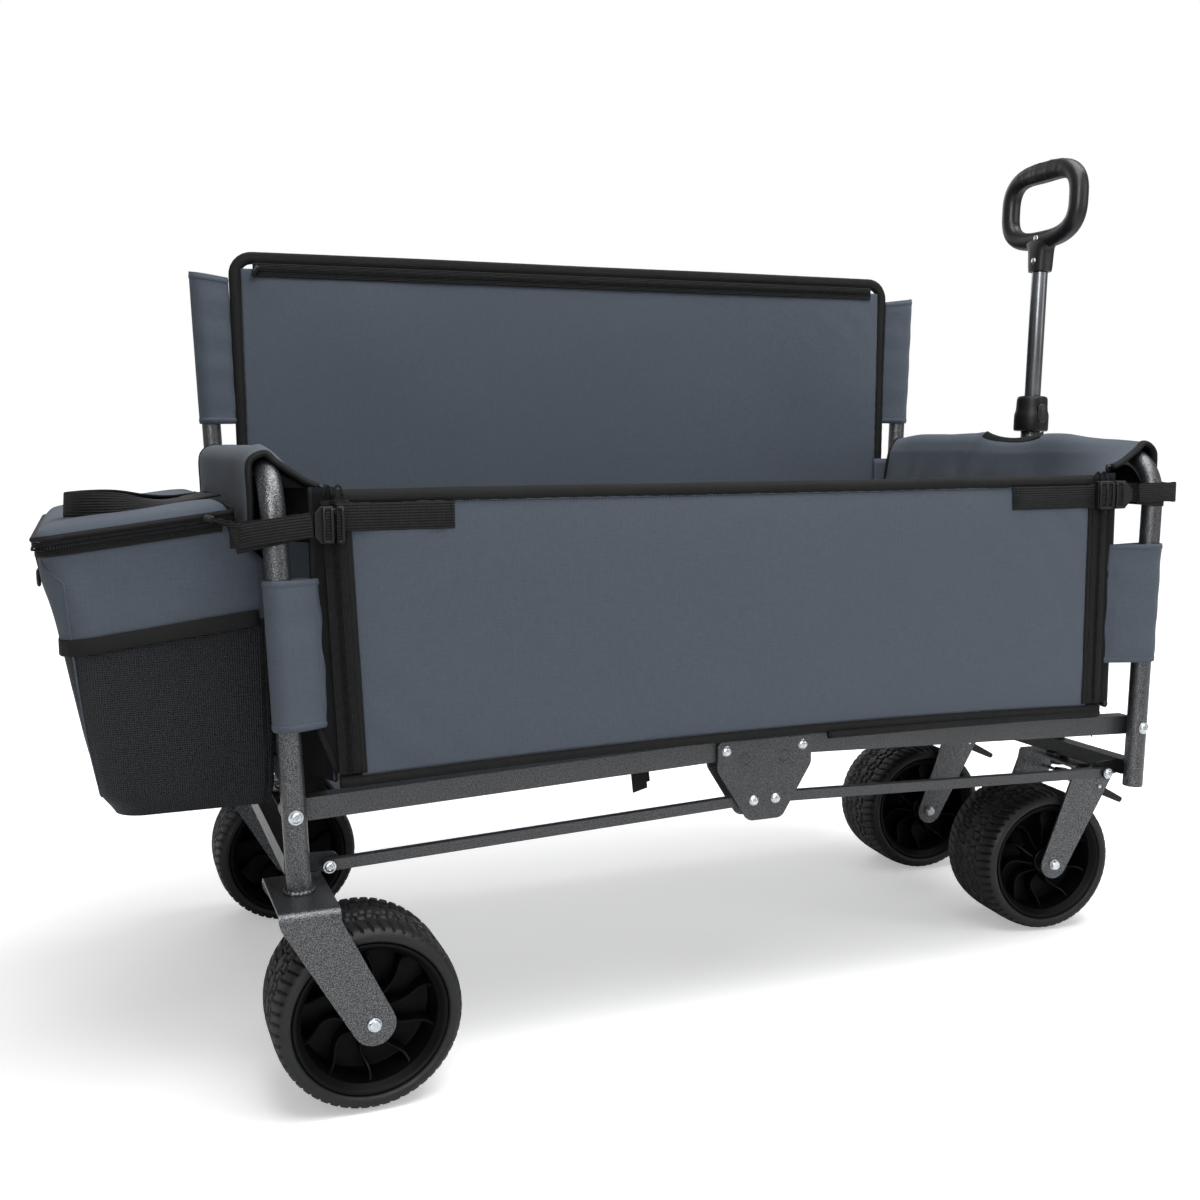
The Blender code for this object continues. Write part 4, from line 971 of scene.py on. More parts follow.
# ------------------------------------------------------------------ pull handle
HANDLE = Matrix.Translation((0.5875, 0.0, 0.262)) @ Matrix.Rotation(SPLAY, 4, "Y")
keep_node("handle_bracket", "beam", 0.0010, 3)
lower = lathe("handle_lower_look", [(0.0122, 0.482), (0.0125, 0.4836), (0.0135, 0.4838), (0.0140, 0.483),
                                    (0.0140, -0.0104), (0.0135, -0.0110), (0.0122, -0.0110)],
              48, "frame", "handle_lower", HANDLE, closed=True)
replace(lower, "handle_lower_tube", slot="frame_paint")
collar_profile = [(0.0121, 0.4880), (0.0170, 0.4880), (0.0196, 0.4874), (0.0212, 0.4860),
                  (0.0221, 0.4836), (0.0224, 0.4800), (0.0226, 0.4720), (0.0232, 0.4660),
                  (0.0243, 0.4625), (0.0249, 0.4600), (0.0250, 0.4560), (0.0250, 0.4390),
                  (0.0244, 0.4370), (0.0230, 0.4360), (0.0146, 0.4360), (0.0144, 0.4370),
                  (0.0144, 0.4834), (0.0121, 0.4838)]
collar = lathe("handle_collar_look", collar_profile, 72, "plastic", "handle_lower", HANDLE, closed=True)


def dished(name, outline, y0, y1, dome, material, body):
    """A button or tab on the handle: an outline in XZ with a soft domed face towards -Y."""
    outline = np.asarray(outline, float)
    n = len(outline)
    rows = [(1.0, y1), (1.0, y0 + 0.0012), (0.96, y0 + 0.0004), (0.88, y0), (0.6, y0 - dome * 0.7),
            (0.3, y0 - dome), (0.001, y0 - dome)]
    p = np.stack([np.stack([outline[:, 0] * s, np.full(n, y), outline[:, 1] * s], -1)
                  for s, y in rows])
    p = p + np.array([0.0, 0.0, 0.462])
    faces = [tuple(f) for f in grid_faces(len(rows), n, False, True)] + [tuple(range(n))]
    return sharp(recalc(add_mesh(name, moved(p, HANDLE), faces, material, body)), 40)


replace(collar, "handle_collar", slot="black_plastic")
button = dished("release_button", rounded([(-0.0078, -0.0140), (0.0078, -0.0140), (0.0078, 0.0140),
                                           (-0.0078, 0.0140)], 0.0070, 9), -0.0256, -0.0208, 0.0009,
                "grip", "handle_release")
replace(button, "handle_button", slot="black_plastic")
upper = lathe("handle_upper_look", [(0.0, 0.6706), (0.0110, 0.6706), (0.0115, 0.6700),
                                    (0.0115, 0.2160), (0.0108, 0.2150), (0.0, 0.2150)], 64, "chrome",
              "handle_upper", HANDLE)
replace(upper, "handle_upper_tube", slot="handle_tube")


def grip():
    """The D-shaped loop, flattened a little, with a ribbed patch along its upper bar."""
    steps, sides = 240, 48
    a = np.linspace(0, 2 * math.pi, steps, endpoint=False)
    power = 2 / 2.9
    sy = np.sign(np.cos(a)) * np.abs(np.cos(a)) ** power
    sz = np.sign(np.sin(a)) * np.abs(np.sin(a)) ** power
    path = np.stack([0 * a, 0.0746 * sy, 0.7683 + 0.0505 * sz], -1)
    extended = np.concatenate([path[-1:], path, path[:1]])
    tangent = np.gradient(extended, axis=0)[1:-1]
    tangent /= np.linalg.norm(tangent, axis=1)[:, None]
    outward = np.cross(tangent, [1.0, 0.0, 0.0])
    outward *= np.sign((outward * (path - [0, 0, 0.7675])).sum(1))[:, None]
    b = np.linspace(0, 2 * math.pi, sides, endpoint=False)
    cx = 0.0150 * np.sign(np.cos(b)) * np.abs(np.cos(b)) ** 0.92
    co = 0.0150 * np.sign(np.sin(b)) * np.abs(np.sin(b)) ** 0.92
    top = smoothstep(np.sin(a), 0.70, 0.86) * smoothstep(0.048 - np.abs(path[:, 1]), 0, 0.004)
    cells = np.maximum(np.sin(path[:, 1] * 2 * math.pi / 0.0042)[:, None] * np.ones(sides),
                       np.sin(b * 9)[None] * np.ones((steps, 1)))
    inward = np.clip(-np.sin(b), 0, 1)[None]
    palm = smoothstep(np.sin(a), 0.2, 1.0) * np.cos(np.clip(path[:, 1] / 0.060, -1, 1) * math.pi / 2)
    relief = (top[:, None] * (0.0006 * smoothstep(cells, 0.1, 0.8) - 0.0007)
              + 0.0052 * palm[:, None] * inward - 0.0020)
    off_seam = np.minimum(np.abs(b - math.pi / 2), np.abs(b - 3 * math.pi / 2))
    seam = -0.0004 * np.exp(-(off_seam / 0.07) ** 2)
    scale = (0.0150 + relief + seam[None]) / 0.0150
    p = (path[:, None] + np.array([1.0, 0, 0]) * (cx[None] * scale)[..., None]
         + outward[:, None] * (co[None] * scale)[..., None])
    return recalc(add_mesh("grip_loop", moved(p, HANDLE), grid_faces(steps, sides, True, True),
                           "grip", "handle_upper"))


def grip_neck():
    """The neck that the tube is riveted into: round below, broad where it joins the loop."""
    # Height, half width along Y, half width along X, and how square each level is.
    levels = [(0.6710, 0.0150, 0.0135, 2.4), (0.6716, 0.0163, 0.0148, 2.6),
              (0.680, 0.0167, 0.0150, 3.0), (0.695, 0.0174, 0.0150, 3.2),
              (0.7010, 0.0182, 0.0150, 3.2), (0.7050, 0.0200, 0.0148, 3.0),
              (0.7090, 0.0240, 0.0146, 2.8), (0.7135, 0.0310, 0.0140, 2.5),
              (0.7180, 0.0390, 0.0128, 2.3), (0.7215, 0.0450, 0.0098, 2.2)]
    a = np.linspace(0, 2 * math.pi, 64, endpoint=False)
    rows = []
    for z, wy, wx, n in levels:
        c, s = np.cos(a), np.sin(a)
        rows.append(route(wx * np.sign(s) * np.abs(s) ** (2 / n),
                          wy * np.sign(c) * np.abs(c) ** (2 / n), z))
    p = np.stack(rows)
    faces = [tuple(f) for f in grid_faces(len(rows), 64, False, True)]
    faces += [tuple(range(64)), tuple(range(len(rows) * 64 - 1, len(rows) * 64 - 65, -1))]
    return sharp(recalc(add_mesh("grip_neck", moved(p, HANDLE), faces, "grip",
                                 "handle_upper")), 50)


rivet_profile = [(0.0, 0.0012), (0.0026, 0.0014), (0.0040, 0.0009), (0.0046, 0.0001),
                 (0.0046, -0.002)]
rivets = [lathe("neck_rivet", rivet_profile, 24, "zinc", "handle_upper",
                HANDLE @ placed((-0.0148 + 0.0018 * i, -0.002, 0.6860 + 0.0330 * i), (-1, 0, 0)))
          for i in (0, 1)]
replace(merge("handle_grip_look", [grip(), grip_neck()] + rivets, "handle_upper"), "handle_grip",
        slot="black_plastic")


# ------------------------------------------------------------------ cloth pieces
def wall_grid(a_span, z_span, na, nz, depth, across="x", seed=0.0, relief=0.0020, bulge=0.0,
              pull=0.0, foot=None):
    """A grid over a wall: along it, up it, with its stuffing, rumples and puckers at its edges."""
    s = np.linspace(0, 1, na)[:, None] * np.ones(nz)
    t = np.linspace(0, 1, nz)[None] * np.ones((na, 1))
    a = a_span[0] + (a_span[1] - a_span[0]) * s
    z = z_span[0] + (z_span[1] - z_span[0]) * t
    if foot is not None:
        z = z + (1 - t) ** 2 * foot(a)
    p3 = np.stack([a, z, 0 * a], -1)
    edge_a = np.minimum(s, 1 - s) * (a_span[1] - a_span[0])
    edge_z = np.minimum(t, 1 - t) * (z_span[1] - z_span[0])
    near = np.minimum(np.abs(edge_a), np.abs(edge_z))
    full = 1 - np.exp(-near / 0.020)
    pucker = (np.sin(z / 0.0118 + 2.1 * noise(p3, 0.05, seed + 1)) * np.exp(-np.abs(edge_a) / 0.016)
              + np.sin(a / 0.0132 + 2.3 * noise(p3, 0.06, seed + 2)) * np.exp(-np.abs(edge_z) / 0.014))
    corner = np.exp(-(np.abs(edge_a) + np.abs(edge_z)) / 0.07)
    drag = np.sin((a * np.sign(0.5 - s) + z * np.sign(0.5 - t)) / 0.011 + noise(p3, 0.05, seed + 8))
    out = (bulge * full + relief * rumple(p3, seed) * full + 0.0007 * pucker * full
           + pull * drag * corner * full)
    d = depth + out
    return np.stack([a, d, z] if across == "x" else [d, a, z], -1)


def binding_edge(name, path, normal, width, thick, body, sewn=(0.34,)):
    """Folded tape over an edge, with its rows of stitches."""
    length = run_along(path)[-1]
    want = np.linspace(0, length, max(8, int(length / 0.006)))
    fine = points_at(path, want)
    wave = 0.0003 * np.sin(want / 0.0031) + 0.0004 * noise(fine, 0.03, 2.0)
    normal = np.asarray(normal, float)
    fine = fine + normal * wave[:, None]
    wide, up = frames_along(fine, np.cross(normal, np.gradient(fine, axis=0)))[1:]
    if (up * normal).sum() < 0:
        wide = -wide
    piece = loft(name, fine, band(width, thick, 0.0002), "binding", body, wide)
    return [piece] + [stitches(name + "_thread", fine + normal * thick / 2, wide, body, width * o,
                               0.0003, "webbing") for o in sewn]


def zipper(name, path, normal, body, tape, teeth="zip_metal", halves=(-1, 1)):
    """A zip, or one half of it: each half is a tape and its row of teeth."""
    pitch, thick, width = 0.0024, 0.0010, 0.0050
    normal = np.asarray(normal, float)
    length = run_along(path)[-1]
    want = np.linspace(0, length, max(6, int(length / 0.008)))
    fine = points_at(path, want)
    fine = fine + normal * (0.0003 * np.sin(want / 0.006))[:, None]
    tangent = np.gradient(fine, axis=0)
    wide = np.cross(normal, tangent)
    wide /= np.linalg.norm(wide, axis=1)[:, None]
    out = []
    for s in halves:
        out.append(loft(name + "_tape", fine + wide * s * tape / 4 + normal * thick / 2,
                        band(tape / 2 - 0.0006, thick), "zip_tape", body, wide))
        out.append(small_blocks(name + "_teeth", fine + normal * (thick + 0.0006), wide,
                                (pitch * 0.52, width * 0.62, 0.0015), pitch, teeth, body,
                                s * width * 0.20))
    return out


def puller(name, at, down, normal, body, length):
    """A zip slider with its tab."""
    at, down, normal = (np.asarray(v, float) for v in (at, down, normal))
    down /= np.linalg.norm(down)
    side = np.cross(down, normal)
    k = np.linspace(0, 1, 9)[:, None]
    back = at + down * (k - 0.5) * 0.011 + normal * (0.0026 + 0.0008 * np.sin(k * math.pi))
    slider = loft(name + "_slider", back, band(0.0078, 0.0032), "zip_metal", body, side)
    a = np.linspace(0, math.pi, 9)
    bail = at + normal * (0.0044 + 0.0022 * np.sin(a))[:, None] + down * (-0.0036 * np.cos(a))[:, None]
    bail = loft(name + "_bail", bail, ring(0.0007, 8), "zip_metal", body, side)
    tab_path = at + down * (0.003 + k * length) + normal * (0.0052 - 0.0012 * k)
    narrow = np.stack([np.where(k[:, 0] < 0.2, 0.6, 1.0), np.ones(9)], -1)[:, None]
    tab = loft(name + "_tab", tab_path, band(0.0062, 0.0016)[None] * narrow, "webbing", body, side)
    return [slider, bail, tab]


# ------------------------------------------------------------------ near panel
near_pieces = []


def sag(x):
    """How far the near panel's foot rises in its middle."""
    return 0.010 * np.clip(1 - (np.abs(x) / 0.49) ** 2, 0, 1)


def rear_lean(z):
    """The panel's rear zip runs parallel to the post beside it."""
    return 0.0020 + 0.0110 * (z - 0.346) / 0.283


# Outer face, stuffed a little, and the lining on the inside.
p = wall_grid((-0.476, 0.460), (0.342, 0.628), 300, 96, 0.0, seed=1, relief=0.0024, bulge=0.0034,
                 pull=0.0019, foot=sag)
outer_face = p.copy()
outer_face[..., 1] = -0.2975 - p[..., 1]
outer_face[..., 0] -= rear_lean(p[..., 2]) * smoothstep(-p[..., 0], 0.30, 0.47)
near_outer = skin("near_panel_face", outer_face, "cloth", "near_side", 0.0012, 1.0)
p2 = wall_grid((-0.490, 0.472), (0.340, 0.634), 200, 70, 0.0, seed=4, relief=0.0012, bulge=0.0014,
                  pull=0.0008, foot=sag)
inner_face = p2.copy()
inner_face[..., 1] = -0.2925 + p2[..., 1]
near_inner = skin("near_panel_lining", inner_face, "cloth_back", "near_side", 0.0012, -1.0)
near_pieces += [near_outer, near_inner]
xs = np.linspace(-0.5010, 0.483, 90)
top_path = route(xs, -0.2952, 0.6313 + 0.0006 * noise(route(xs, 0.0, 0.0), 0.12))
near_pieces += binding_edge("near_top_binding", top_path, (0, -1, 0), 0.0168, 0.0098, "near_side",
                            sewn=(-0.10, -0.40))
low = route(xs, -0.2952, 0.3375 + sag(xs))
near_pieces += binding_edge("near_foot_binding", low, (0, -1, 0), 0.0140, 0.0090, "near_side",
                            sewn=(0.32,))
xs = np.linspace(0.080, 0.4835, 60)
low = route(xs, -0.2962, 0.3316 + 0.6 * sag(xs))
near_pieces += binding_edge("near_foot_hem", low, (0, -1, 0), 0.0100, 0.0080, "near_side", sewn=())


def zip_line(word):
    """Where the teeth of the near panel's zip run, up one end."""
    z = np.linspace(0.346, 0.6290, 20)
    x = -0.4885 - rear_lean(z) if word == "rear" else 0.4700
    return route(x, -0.3003, z)


for word, x, s in (("rear", -0.5000, -1), ("front", 0.4700, 1)):
    path = zip_line(word)
    near_pieces += zipper("near_zip", path, (0, -1, 0), "near_side", tape=0.024, halves=(s,))
    inner_edge = path + np.array([-s * 0.0145, -0.0002, 0.0])
    near_pieces += binding_edge("near_zip_border", inner_edge, (0, -1, 0), 0.0060, 0.0024, "near_side",
                                sewn=(0.25 * s,))
    near_pieces += puller("near_zip_pull", (x, -0.3018, 0.6150), (0.12 * s, -0.05, -1.0), (0, -1, 0),
                          "near_side", 0.022)
    a = np.linspace(0, math.pi, 14)
    for dx, turn in ((-0.006, 0.3), (0.005, -0.4)):
        loop = route(x + dx + 0.0042 * np.cos(a), -0.3010 - turn * 0.004 * np.sin(a),
                     0.6330 + 0.0105 * np.sin(a))
        near_pieces.append(loft("near_zip_loop", loop, ring(0.0013, 8), "binding", "near_side"))
for x0, x1, z in ((-0.4985, -0.3750, 0.6115), (0.334, 0.481, 0.6130)):
    xs2 = np.linspace(x0, x1, 60)
    path = route(xs2, -0.3017 - 0.0008 * np.sin((xs2 - x0) / (x1 - x0) * 9) ** 2, z)
    near_pieces.append(strap_piece("near_web", path, 0.0288, 0.0019, "webbing", "near_side", (0, 0, 1)))
    for dx in (0.004, 0.010):
        x = (x1 - dx) if x0 < 0 else (x0 + dx)
        line = route(x, -0.3030, np.linspace(z - 0.0115, z + 0.0115, 9))
        near_pieces.append(stitches("near_web_bar", line, (1, 0, 0), "near_side", lift=0.0,
                                    material="binding", pitch=0.0026))

# ------------------------------------------------------------------ bench back
back_pieces = []


def low_sag(x):
    """How far the bench back's foot rises in its middle."""
    return 0.017 * np.clip(1 - (np.abs(x) / 0.53) ** 2, 0, 1)


p = wall_grid((-0.516, 0.516), (0.332, 0.928), 300, 170, 0.0, seed=11, relief=0.0022, bulge=0.0022,
                 pull=0.0013, foot=low_sag)
face = p.copy()
face[..., 1] = 0.2895 - p[..., 1]
back_face = skin("bench_back_face", face, "cloth", "rear_frame", 0.0012, -1.0)
p = wall_grid((-0.516, 0.516), (0.332, 0.928), 220, 130, 0.0, seed=14, relief=0.0018, bulge=0.0016,
                 pull=0.0010, foot=low_sag)
face = p.copy()
face[..., 1] = 0.2958 + p[..., 1]
back_rear = skin("bench_back_rear", face, "cloth", "rear_frame", 0.0012, 1.0)
back_pieces += [back_face, back_rear]
corner_r = 0.024
a = np.linspace(math.pi, math.pi / 2, 12)
left_corner = np.stack([-0.524 + corner_r + corner_r * np.cos(a),
                        0.943 - corner_r + corner_r * np.sin(a)], -1)
edge = np.concatenate([[(-0.520, 0.332), (-0.521, 0.55), (-0.522, 0.75)], left_corner,
                       [(-0.25, 0.9437), (0.0, 0.9432), (0.25, 0.9437)],
                       (left_corner * (-1, 1))[::-1], [(0.522, 0.75), (0.521, 0.55), (0.520, 0.332)]])
back_pieces += binding_edge("bench_back_binding", route(edge[:, 0], 0.2925, edge[:, 1]), (0, -1, 0),
                            0.0165, 0.0105, "rear_frame", sewn=(-0.30, 0.30))
zip_path = np.array([(-0.500, 0.2868, 0.9270), (-0.25, 0.2866, 0.9272), (0.25, 0.2866, 0.9272),
                     (0.500, 0.2868, 0.9270)])
back_pieces += zipper("bench_back_zip", zip_path, (0, -1, 0), "rear_frame", tape=0.020,
                      teeth="zip_tape")
back_pieces += puller("bench_back_pull", (-0.496, 0.2858, 0.9265), (-0.5, 0, -1.0), (0, -1, 0),
                      "rear_frame", 0.008)
xs = np.linspace(-0.512, 0.512, 60)
low = route(xs, 0.2925, 0.3335 + low_sag(xs))
back_pieces += binding_edge("bench_back_foot", low, (0, -1, 0), 0.0100, 0.0095, "rear_frame",
                            sewn=(0.30,))

# Lining hangs from the bench back's foot, inside the far rails, either side of the hinge plates.
for side in (-1, 1):
    xs, t = np.meshgrid(side * np.linspace(0.074, 0.530, 50), np.linspace(0, 1, 8), indexing="ij")
    rail_z = BOLT_Z + (0.3264 - BOLT_Z) * (HALF_LENGTH - np.abs(xs)) / (HALF_LENGTH - 0.0505)
    zs = rail_z + (0.3380 + low_sag(xs) - rail_z) * t
    back_pieces.append(skin("bench_back_skirt", route(xs, 0.2856 + 0.0030 * t, zs), "lining",
                            "rear_frame", 0.0010, 0.0))
xs, t = np.meshgrid(np.linspace(-0.080, 0.080, 30), np.linspace(0, 1, 6), indexing="ij")
back_pieces.append(skin("bench_back_skirt", route(xs, 0.2925, 0.3400 + (low_sag(xs) + 0.0010) * t),
                        "lining", "rear_frame", 0.0010, 0.0))


def sleeve(name, end, y, z_span, flap, toward, body, point=0.0):
    """Cloth wrapped round a post, with a flap that runs back to the panel it is sewn to."""
    r = 0.0150
    arc_len = r * math.radians(200)
    total = arc_len + flap
    s = np.linspace(-flap, arc_len + flap, 61)
    rows = []
    for ti in np.linspace(0, 1, 40):
        z = z_span[0] + (z_span[1] - z_span[0]) * ti
        x0 = post_x(z)
        pts = []
        for si in s:
            extra = point * max(0.0, (ti - 0.75) / 0.25) * (1 - abs(si - arc_len / 2) / total)
            if si < 0:
                lx, ly = si, -r
            elif si > arc_len:
                lx, ly = -(si - arc_len), r
            else:
                ang = -math.pi / 2 + (si / arc_len) * math.pi
                lx, ly = r * math.cos(ang), r * math.sin(ang)
            squeeze = np.clip(-lx / flap, 0, 1)
            ly = ly * (1 - squeeze ** 1.4) + toward * squeeze ** 1.2
            pts.append((end * (x0 + lx), y + ly, z + extra))
        rows.append(pts)
    p = np.array(rows)
    wob = 0.0010 * noise(p, 0.035, end + y) + 0.0005 * np.sin(p[..., 2] / 0.007 + 9 * p[..., 0])
    p[..., 1] += wob * np.sign(p[..., 1] - y)
    return [skin(name, p, "cloth", body, 0.0012, 0.0)] + [
        loft(name + "_hem", row, band(0.0062, 0.0024), "cloth", body, (0, 0, 1))
        for row in (p[1], p[-2])]


rest_pieces = {"rear_frame": [], "front_frame": []}
for word, end in ENDS.items():
    body = word + "_frame"
    rest_pieces[body] += sleeve(word + "_far_sleeve", end, HALF_WIDTH, (0.714, 0.912), 0.036, -0.0040, body,
                                point=0.010)
    rest_pieces[body] += sleeve(word + "_near_sleeve", end, -HALF_WIDTH, (0.396, 0.550),
                                0.043 if end < 0 else 0.063, 0.0038, body)
replace(merge("bench_back_trim", back_pieces[2:], "rear_frame"), "back_panel", slot="grey_fabric")

# A pull tab of folded webbing hangs under the floor.
for shift, low in ((0.0, 0.2820), (0.006, 0.2880)):
    drop = route(np.linspace(-0.143, -0.140, 16) + shift - 0.006, -0.2540 + shift,
                 np.linspace(0.312, low, 16))
    strap_piece("pull_tab", drop, 0.0230, 0.0019, "webbing", "rear_rails", (0.93, 0.35, 0))

# ------------------------------------------------------------------ end walls and arm covers
walls = {"rear": [], "front": []}
WALL_X = 0.5435
WALL_TURN = 0.0400


def near_turn(y):
    """How far, from 0 to 1, an end wall has turned inwards near its near edge."""
    return (1 - smoothstep(y, -0.286, -0.205)) ** 1.3


for word, end in ENDS.items():
    body = word + "_frame"
    parts = rest_pieces[body]
    for face_x, out_dir, seed, tint in ((0.5462, 1.0, 21, "cloth"), (0.5405, -1.0, 25, "cloth_back")):
        p = wall_grid((-0.2885, 0.284), (0.338, 0.655), 130, 80, 0.0, across="y", seed=seed + end,
                         relief=0.0020, bulge=0.0012, pull=0.0010)
        y = p[..., 1]
        p[..., 2] = 0.338 + (p[..., 2] - 0.338) * (1 - 0.10 * (1 - smoothstep(y, -0.287, -0.225)))
        p[..., 0] = end * (face_x - (WALL_TURN + 0.0010 * out_dir) * near_turn(y)
                           + out_dir * p[..., 0] * 0.8)
        walls[word].append(skin(word + ("_wall_face" if out_dir > 0 else "_wall_lining"), p, tint, body,
                                0.0011, 0.0))
    # A dark sheet below the wall's foot is painted shade, filling the see-through under the end wall.
    sy, sz = np.meshgrid(np.linspace(-0.262, 0.284, 60), np.linspace(0.2900, 0.3440, 8), indexing="ij")
    shade_skirt_x = WALL_X - WALL_TURN * near_turn(sy) - 0.16 * (0.344 - sz)
    parts.append(skin(word + "_skirt", route(end * shade_skirt_x, sy, sz), "lining", body, 0.0012, 0.0))
    # A strip closes the corner between the wall and the bench back.
    cx, cz = np.meshgrid(np.linspace(0.5120, 0.5440, 8), np.linspace(0.300, 0.655, 40), indexing="ij")
    parts.append(skin(word + "_far_corner", route(end * cx, 0.2852, cz), "cloth_back", body, 0.0010,
                      0.0))
    # Dark patches line the near corner, below the sleeve and under the cover's arch; they are painted shade
    # in the corner.
    for low, high in ((0.336, 0.446), (0.584, 0.640)):
        py, pz = np.meshgrid(np.linspace(-0.2845, -0.206, 24), np.linspace(low, high, 20), indexing="ij")
        patch = route(end * (0.5484 - 0.0410 * near_turn(py)), py, pz)
        parts.append(skin(word + "_corner_shade", patch, "lining", body, 0.0010, 0.0))
    ys = np.linspace(-0.287, 0.284, 60)
    low = route(end * (WALL_X - WALL_TURN * near_turn(ys)), ys, 0.3400)
    parts += binding_edge(word + "_end_foot", low, (end, 0, 0), 0.0095, 0.0066, body, sewn=(0.30,))
    # The black half of the side panel's zip is sewn to the wall's near edge.
    zs = np.linspace(0.346, 0.642, 40)
    t = np.linspace(0, 1, 14)[None]
    teeth = zip_line(word)
    x_in = end * np.interp(zs, teeth[:, 2], teeth[:, 0])[:, None] - 0.004
    x_out = (0.5050 + 0.0190 * smoothstep(zs, 0.336, 0.405) if end < 0 else 0.5010 + 0 * zs)[:, None]
    gx = end * (x_in + (x_out - x_in) * t)
    gy = -0.2965 + 0.0080 * t ** 3 + 0.0008 * np.sin(zs[:, None] / 0.012 + 3 * t)
    parts.append(skin(word + "_zip_flap", route(gx, gy, zs[:, None]), "lining", body, 0.0014, 0.0))
    parts += zipper(word + "_zip", teeth, (0, -1, 0), body, tape=0.024, halves=(-end,))
    hem = route(end * (x_out[:, 0] - 0.004), -0.2915, zs)
    parts.append(loft(word + "_flap_hem", hem, band(0.0080, 0.0030), "binding", body, (1, 0, 0)))
    replace(merge(word + "_end_wall", parts, body), word + "_end_panel", slot="grey_fabric")


def arm_cover(word, end):
    """Cloth draped over the arm rail: a dark-bound arch at its near end, a dark lining below."""
    body = word + "_frame"
    rail_x = post_x(ARM_Z)
    n, m = 170, 64
    v = np.linspace(0, 1, n)
    y = -0.2770 + v * 0.5585
    r = 0.0178
    a = np.linspace(math.radians(182), math.radians(22), 26)
    hump = np.stack([r * np.cos(a), ARM_Z + r * np.sin(a)], -1)
    outer = np.stack([np.linspace(-0.0170, -0.0180, 12), np.linspace(0.602, 0.660, 12)], -1)
    foot_z = 0.606 if end > 0 else 0.626
    inner = np.stack([np.linspace(0.0200, 0.0302, 10), np.linspace(0.664, foot_z, 10)], -1)
    section = np.concatenate([outer, hump, inner])
    length = run_along(section)[-1]
    want = np.linspace(0, length, m)
    section = points_at(section, want)
    gradient = np.gradient(section, axis=0)
    gradient /= np.linalg.norm(gradient, axis=1)[:, None]
    out = np.stack([-gradient[:, 1], gradient[:, 0]], -1)
    key = route(y[:, None], want[None], 0.0)
    folds = (0.0021 * rumple(key, 31 + end, 0.07)
             + 0.0012 * np.sin(y[:, None] / 0.0125 + 2.5 * noise(key, 0.06, 33))
             * np.exp(-((want[None] - length * 0.93) / 0.030) ** 2))
    lift = 0.0022 + folds
    if end > 0:
        # The front cover dips between the two halves of its own seam.
        lift = lift + (0.0018 * np.exp(-((y[:, None] - 0.055) / 0.012) ** 2)
                       * np.sin(want[None] / length * math.pi))
    draped = section + out * lift[..., None]
    p = route(end * (rail_x - draped[..., 0]), y[:, None], draped[..., 1])
    # Its near end reaches forward on the inside, to the top corner of the side panel.
    crest = int(np.argmax(section[:, 1]))
    share = np.clip((np.arange(m) - crest) / (m - 1 - crest), 0, 1)[None]
    reach = np.clip(1 - v / (0.27 if end > 0 else 0.21), 0, 1)[:, None]
    target = np.array([end * (0.4885 if end > 0 else 0.5050), -0.2900, 0.650 if end > 0 else 0.641])
    top_point = p[:, crest:crest + 1]
    line = top_point + (target - top_point) * share[..., None]
    line[..., 2] -= 0.0060 * np.sin(share * math.pi)
    p += ((share > 0) * reach)[..., None] * (line - p)
    high = np.exp(-((np.arange(m) - crest) / 9.0) ** 2)[None]
    p[..., 2] -= (0.0035 if end > 0 else 0.0060) * (1 - smoothstep(v, 0, 0.11))[:, None] * high
    if end > 0:
        puff = 0.0100 * (smoothstep(v, 0.10, 0.35) * (1 - 0.4 * smoothstep(v, 0.9, 1.0)))[:, None]
        dip = np.clip(1 - (np.abs(y + 0.0200) / 0.0660) ** 2, 0, 1)[:, None]
        p[..., 2] += (puff * (1 - dip) + 0.0005 * dip) * high
    cover = skin(word + "_cover_cloth", p, "cover_cloth", body, 0.0012, 0.0)
    normals = np.cross(np.gradient(p, axis=0), np.gradient(p, axis=1))
    normals /= np.linalg.norm(normals, axis=-1)[..., None]
    from_rail = (p - [end * rail_x, 0.0, 0.630]) * [1, 0, 1]
    normals *= np.sign((normals * from_rail).sum(-1))[..., None]
    inside = skin(word + "_cover_lining", p - normals * 0.0012, "lining", body, 0.0006, 0.0)
    arch = loft(word + "_cover_arch", spline(p[1, ::4] - normals[1, ::4] * 0.0018, 90),
                band(0.0110, 0.0072), "binding", body, (0, 1, 0))
    arch2 = loft(word + "_cover_end", spline(p[-1, ::4], 60), band(0.0080, 0.0034), "binding", body,
                 (0, 1, 0))
    foot = loft(word + "_cover_foot", spline(p[::8, 0], 80), band(0.0080, 0.0034), "binding", body,
                (0, 0, 1))
    foot2 = loft(word + "_cover_inner_hem", spline(p[::8, -1], 80), band(0.0085, 0.0034), "binding",
                 body, (0, 0, 1))
    thread = stitches(word + "_cover_thread", spline(p[2::6, m // 2 + 12], 140), (0, 0, 1), body,
                      lift=0.0012 * end)
    trims = [inside, arch, arch2, foot, foot2, thread]
    if end > 0:
        # A black scallop is bound round the cut-out for the handle.
        rows = np.where(np.abs(y + 0.0200) < 0.0680)[0]
        rim = p[rows, crest] + np.array([-0.0080, 0.0, -0.0012])
        trims.append(loft(word + "_scallop", spline(rim[::3], 70), band(0.0125, 0.0042), "binding", body,
                          (0.60, 0, 0.80)))
    replace(merge(word + "_cover_look", trims, body), word + "_arm_cover", slot="grey_fabric")
    return cover


covers = {word: arm_cover(word, end) for word, end in ENDS.items()}


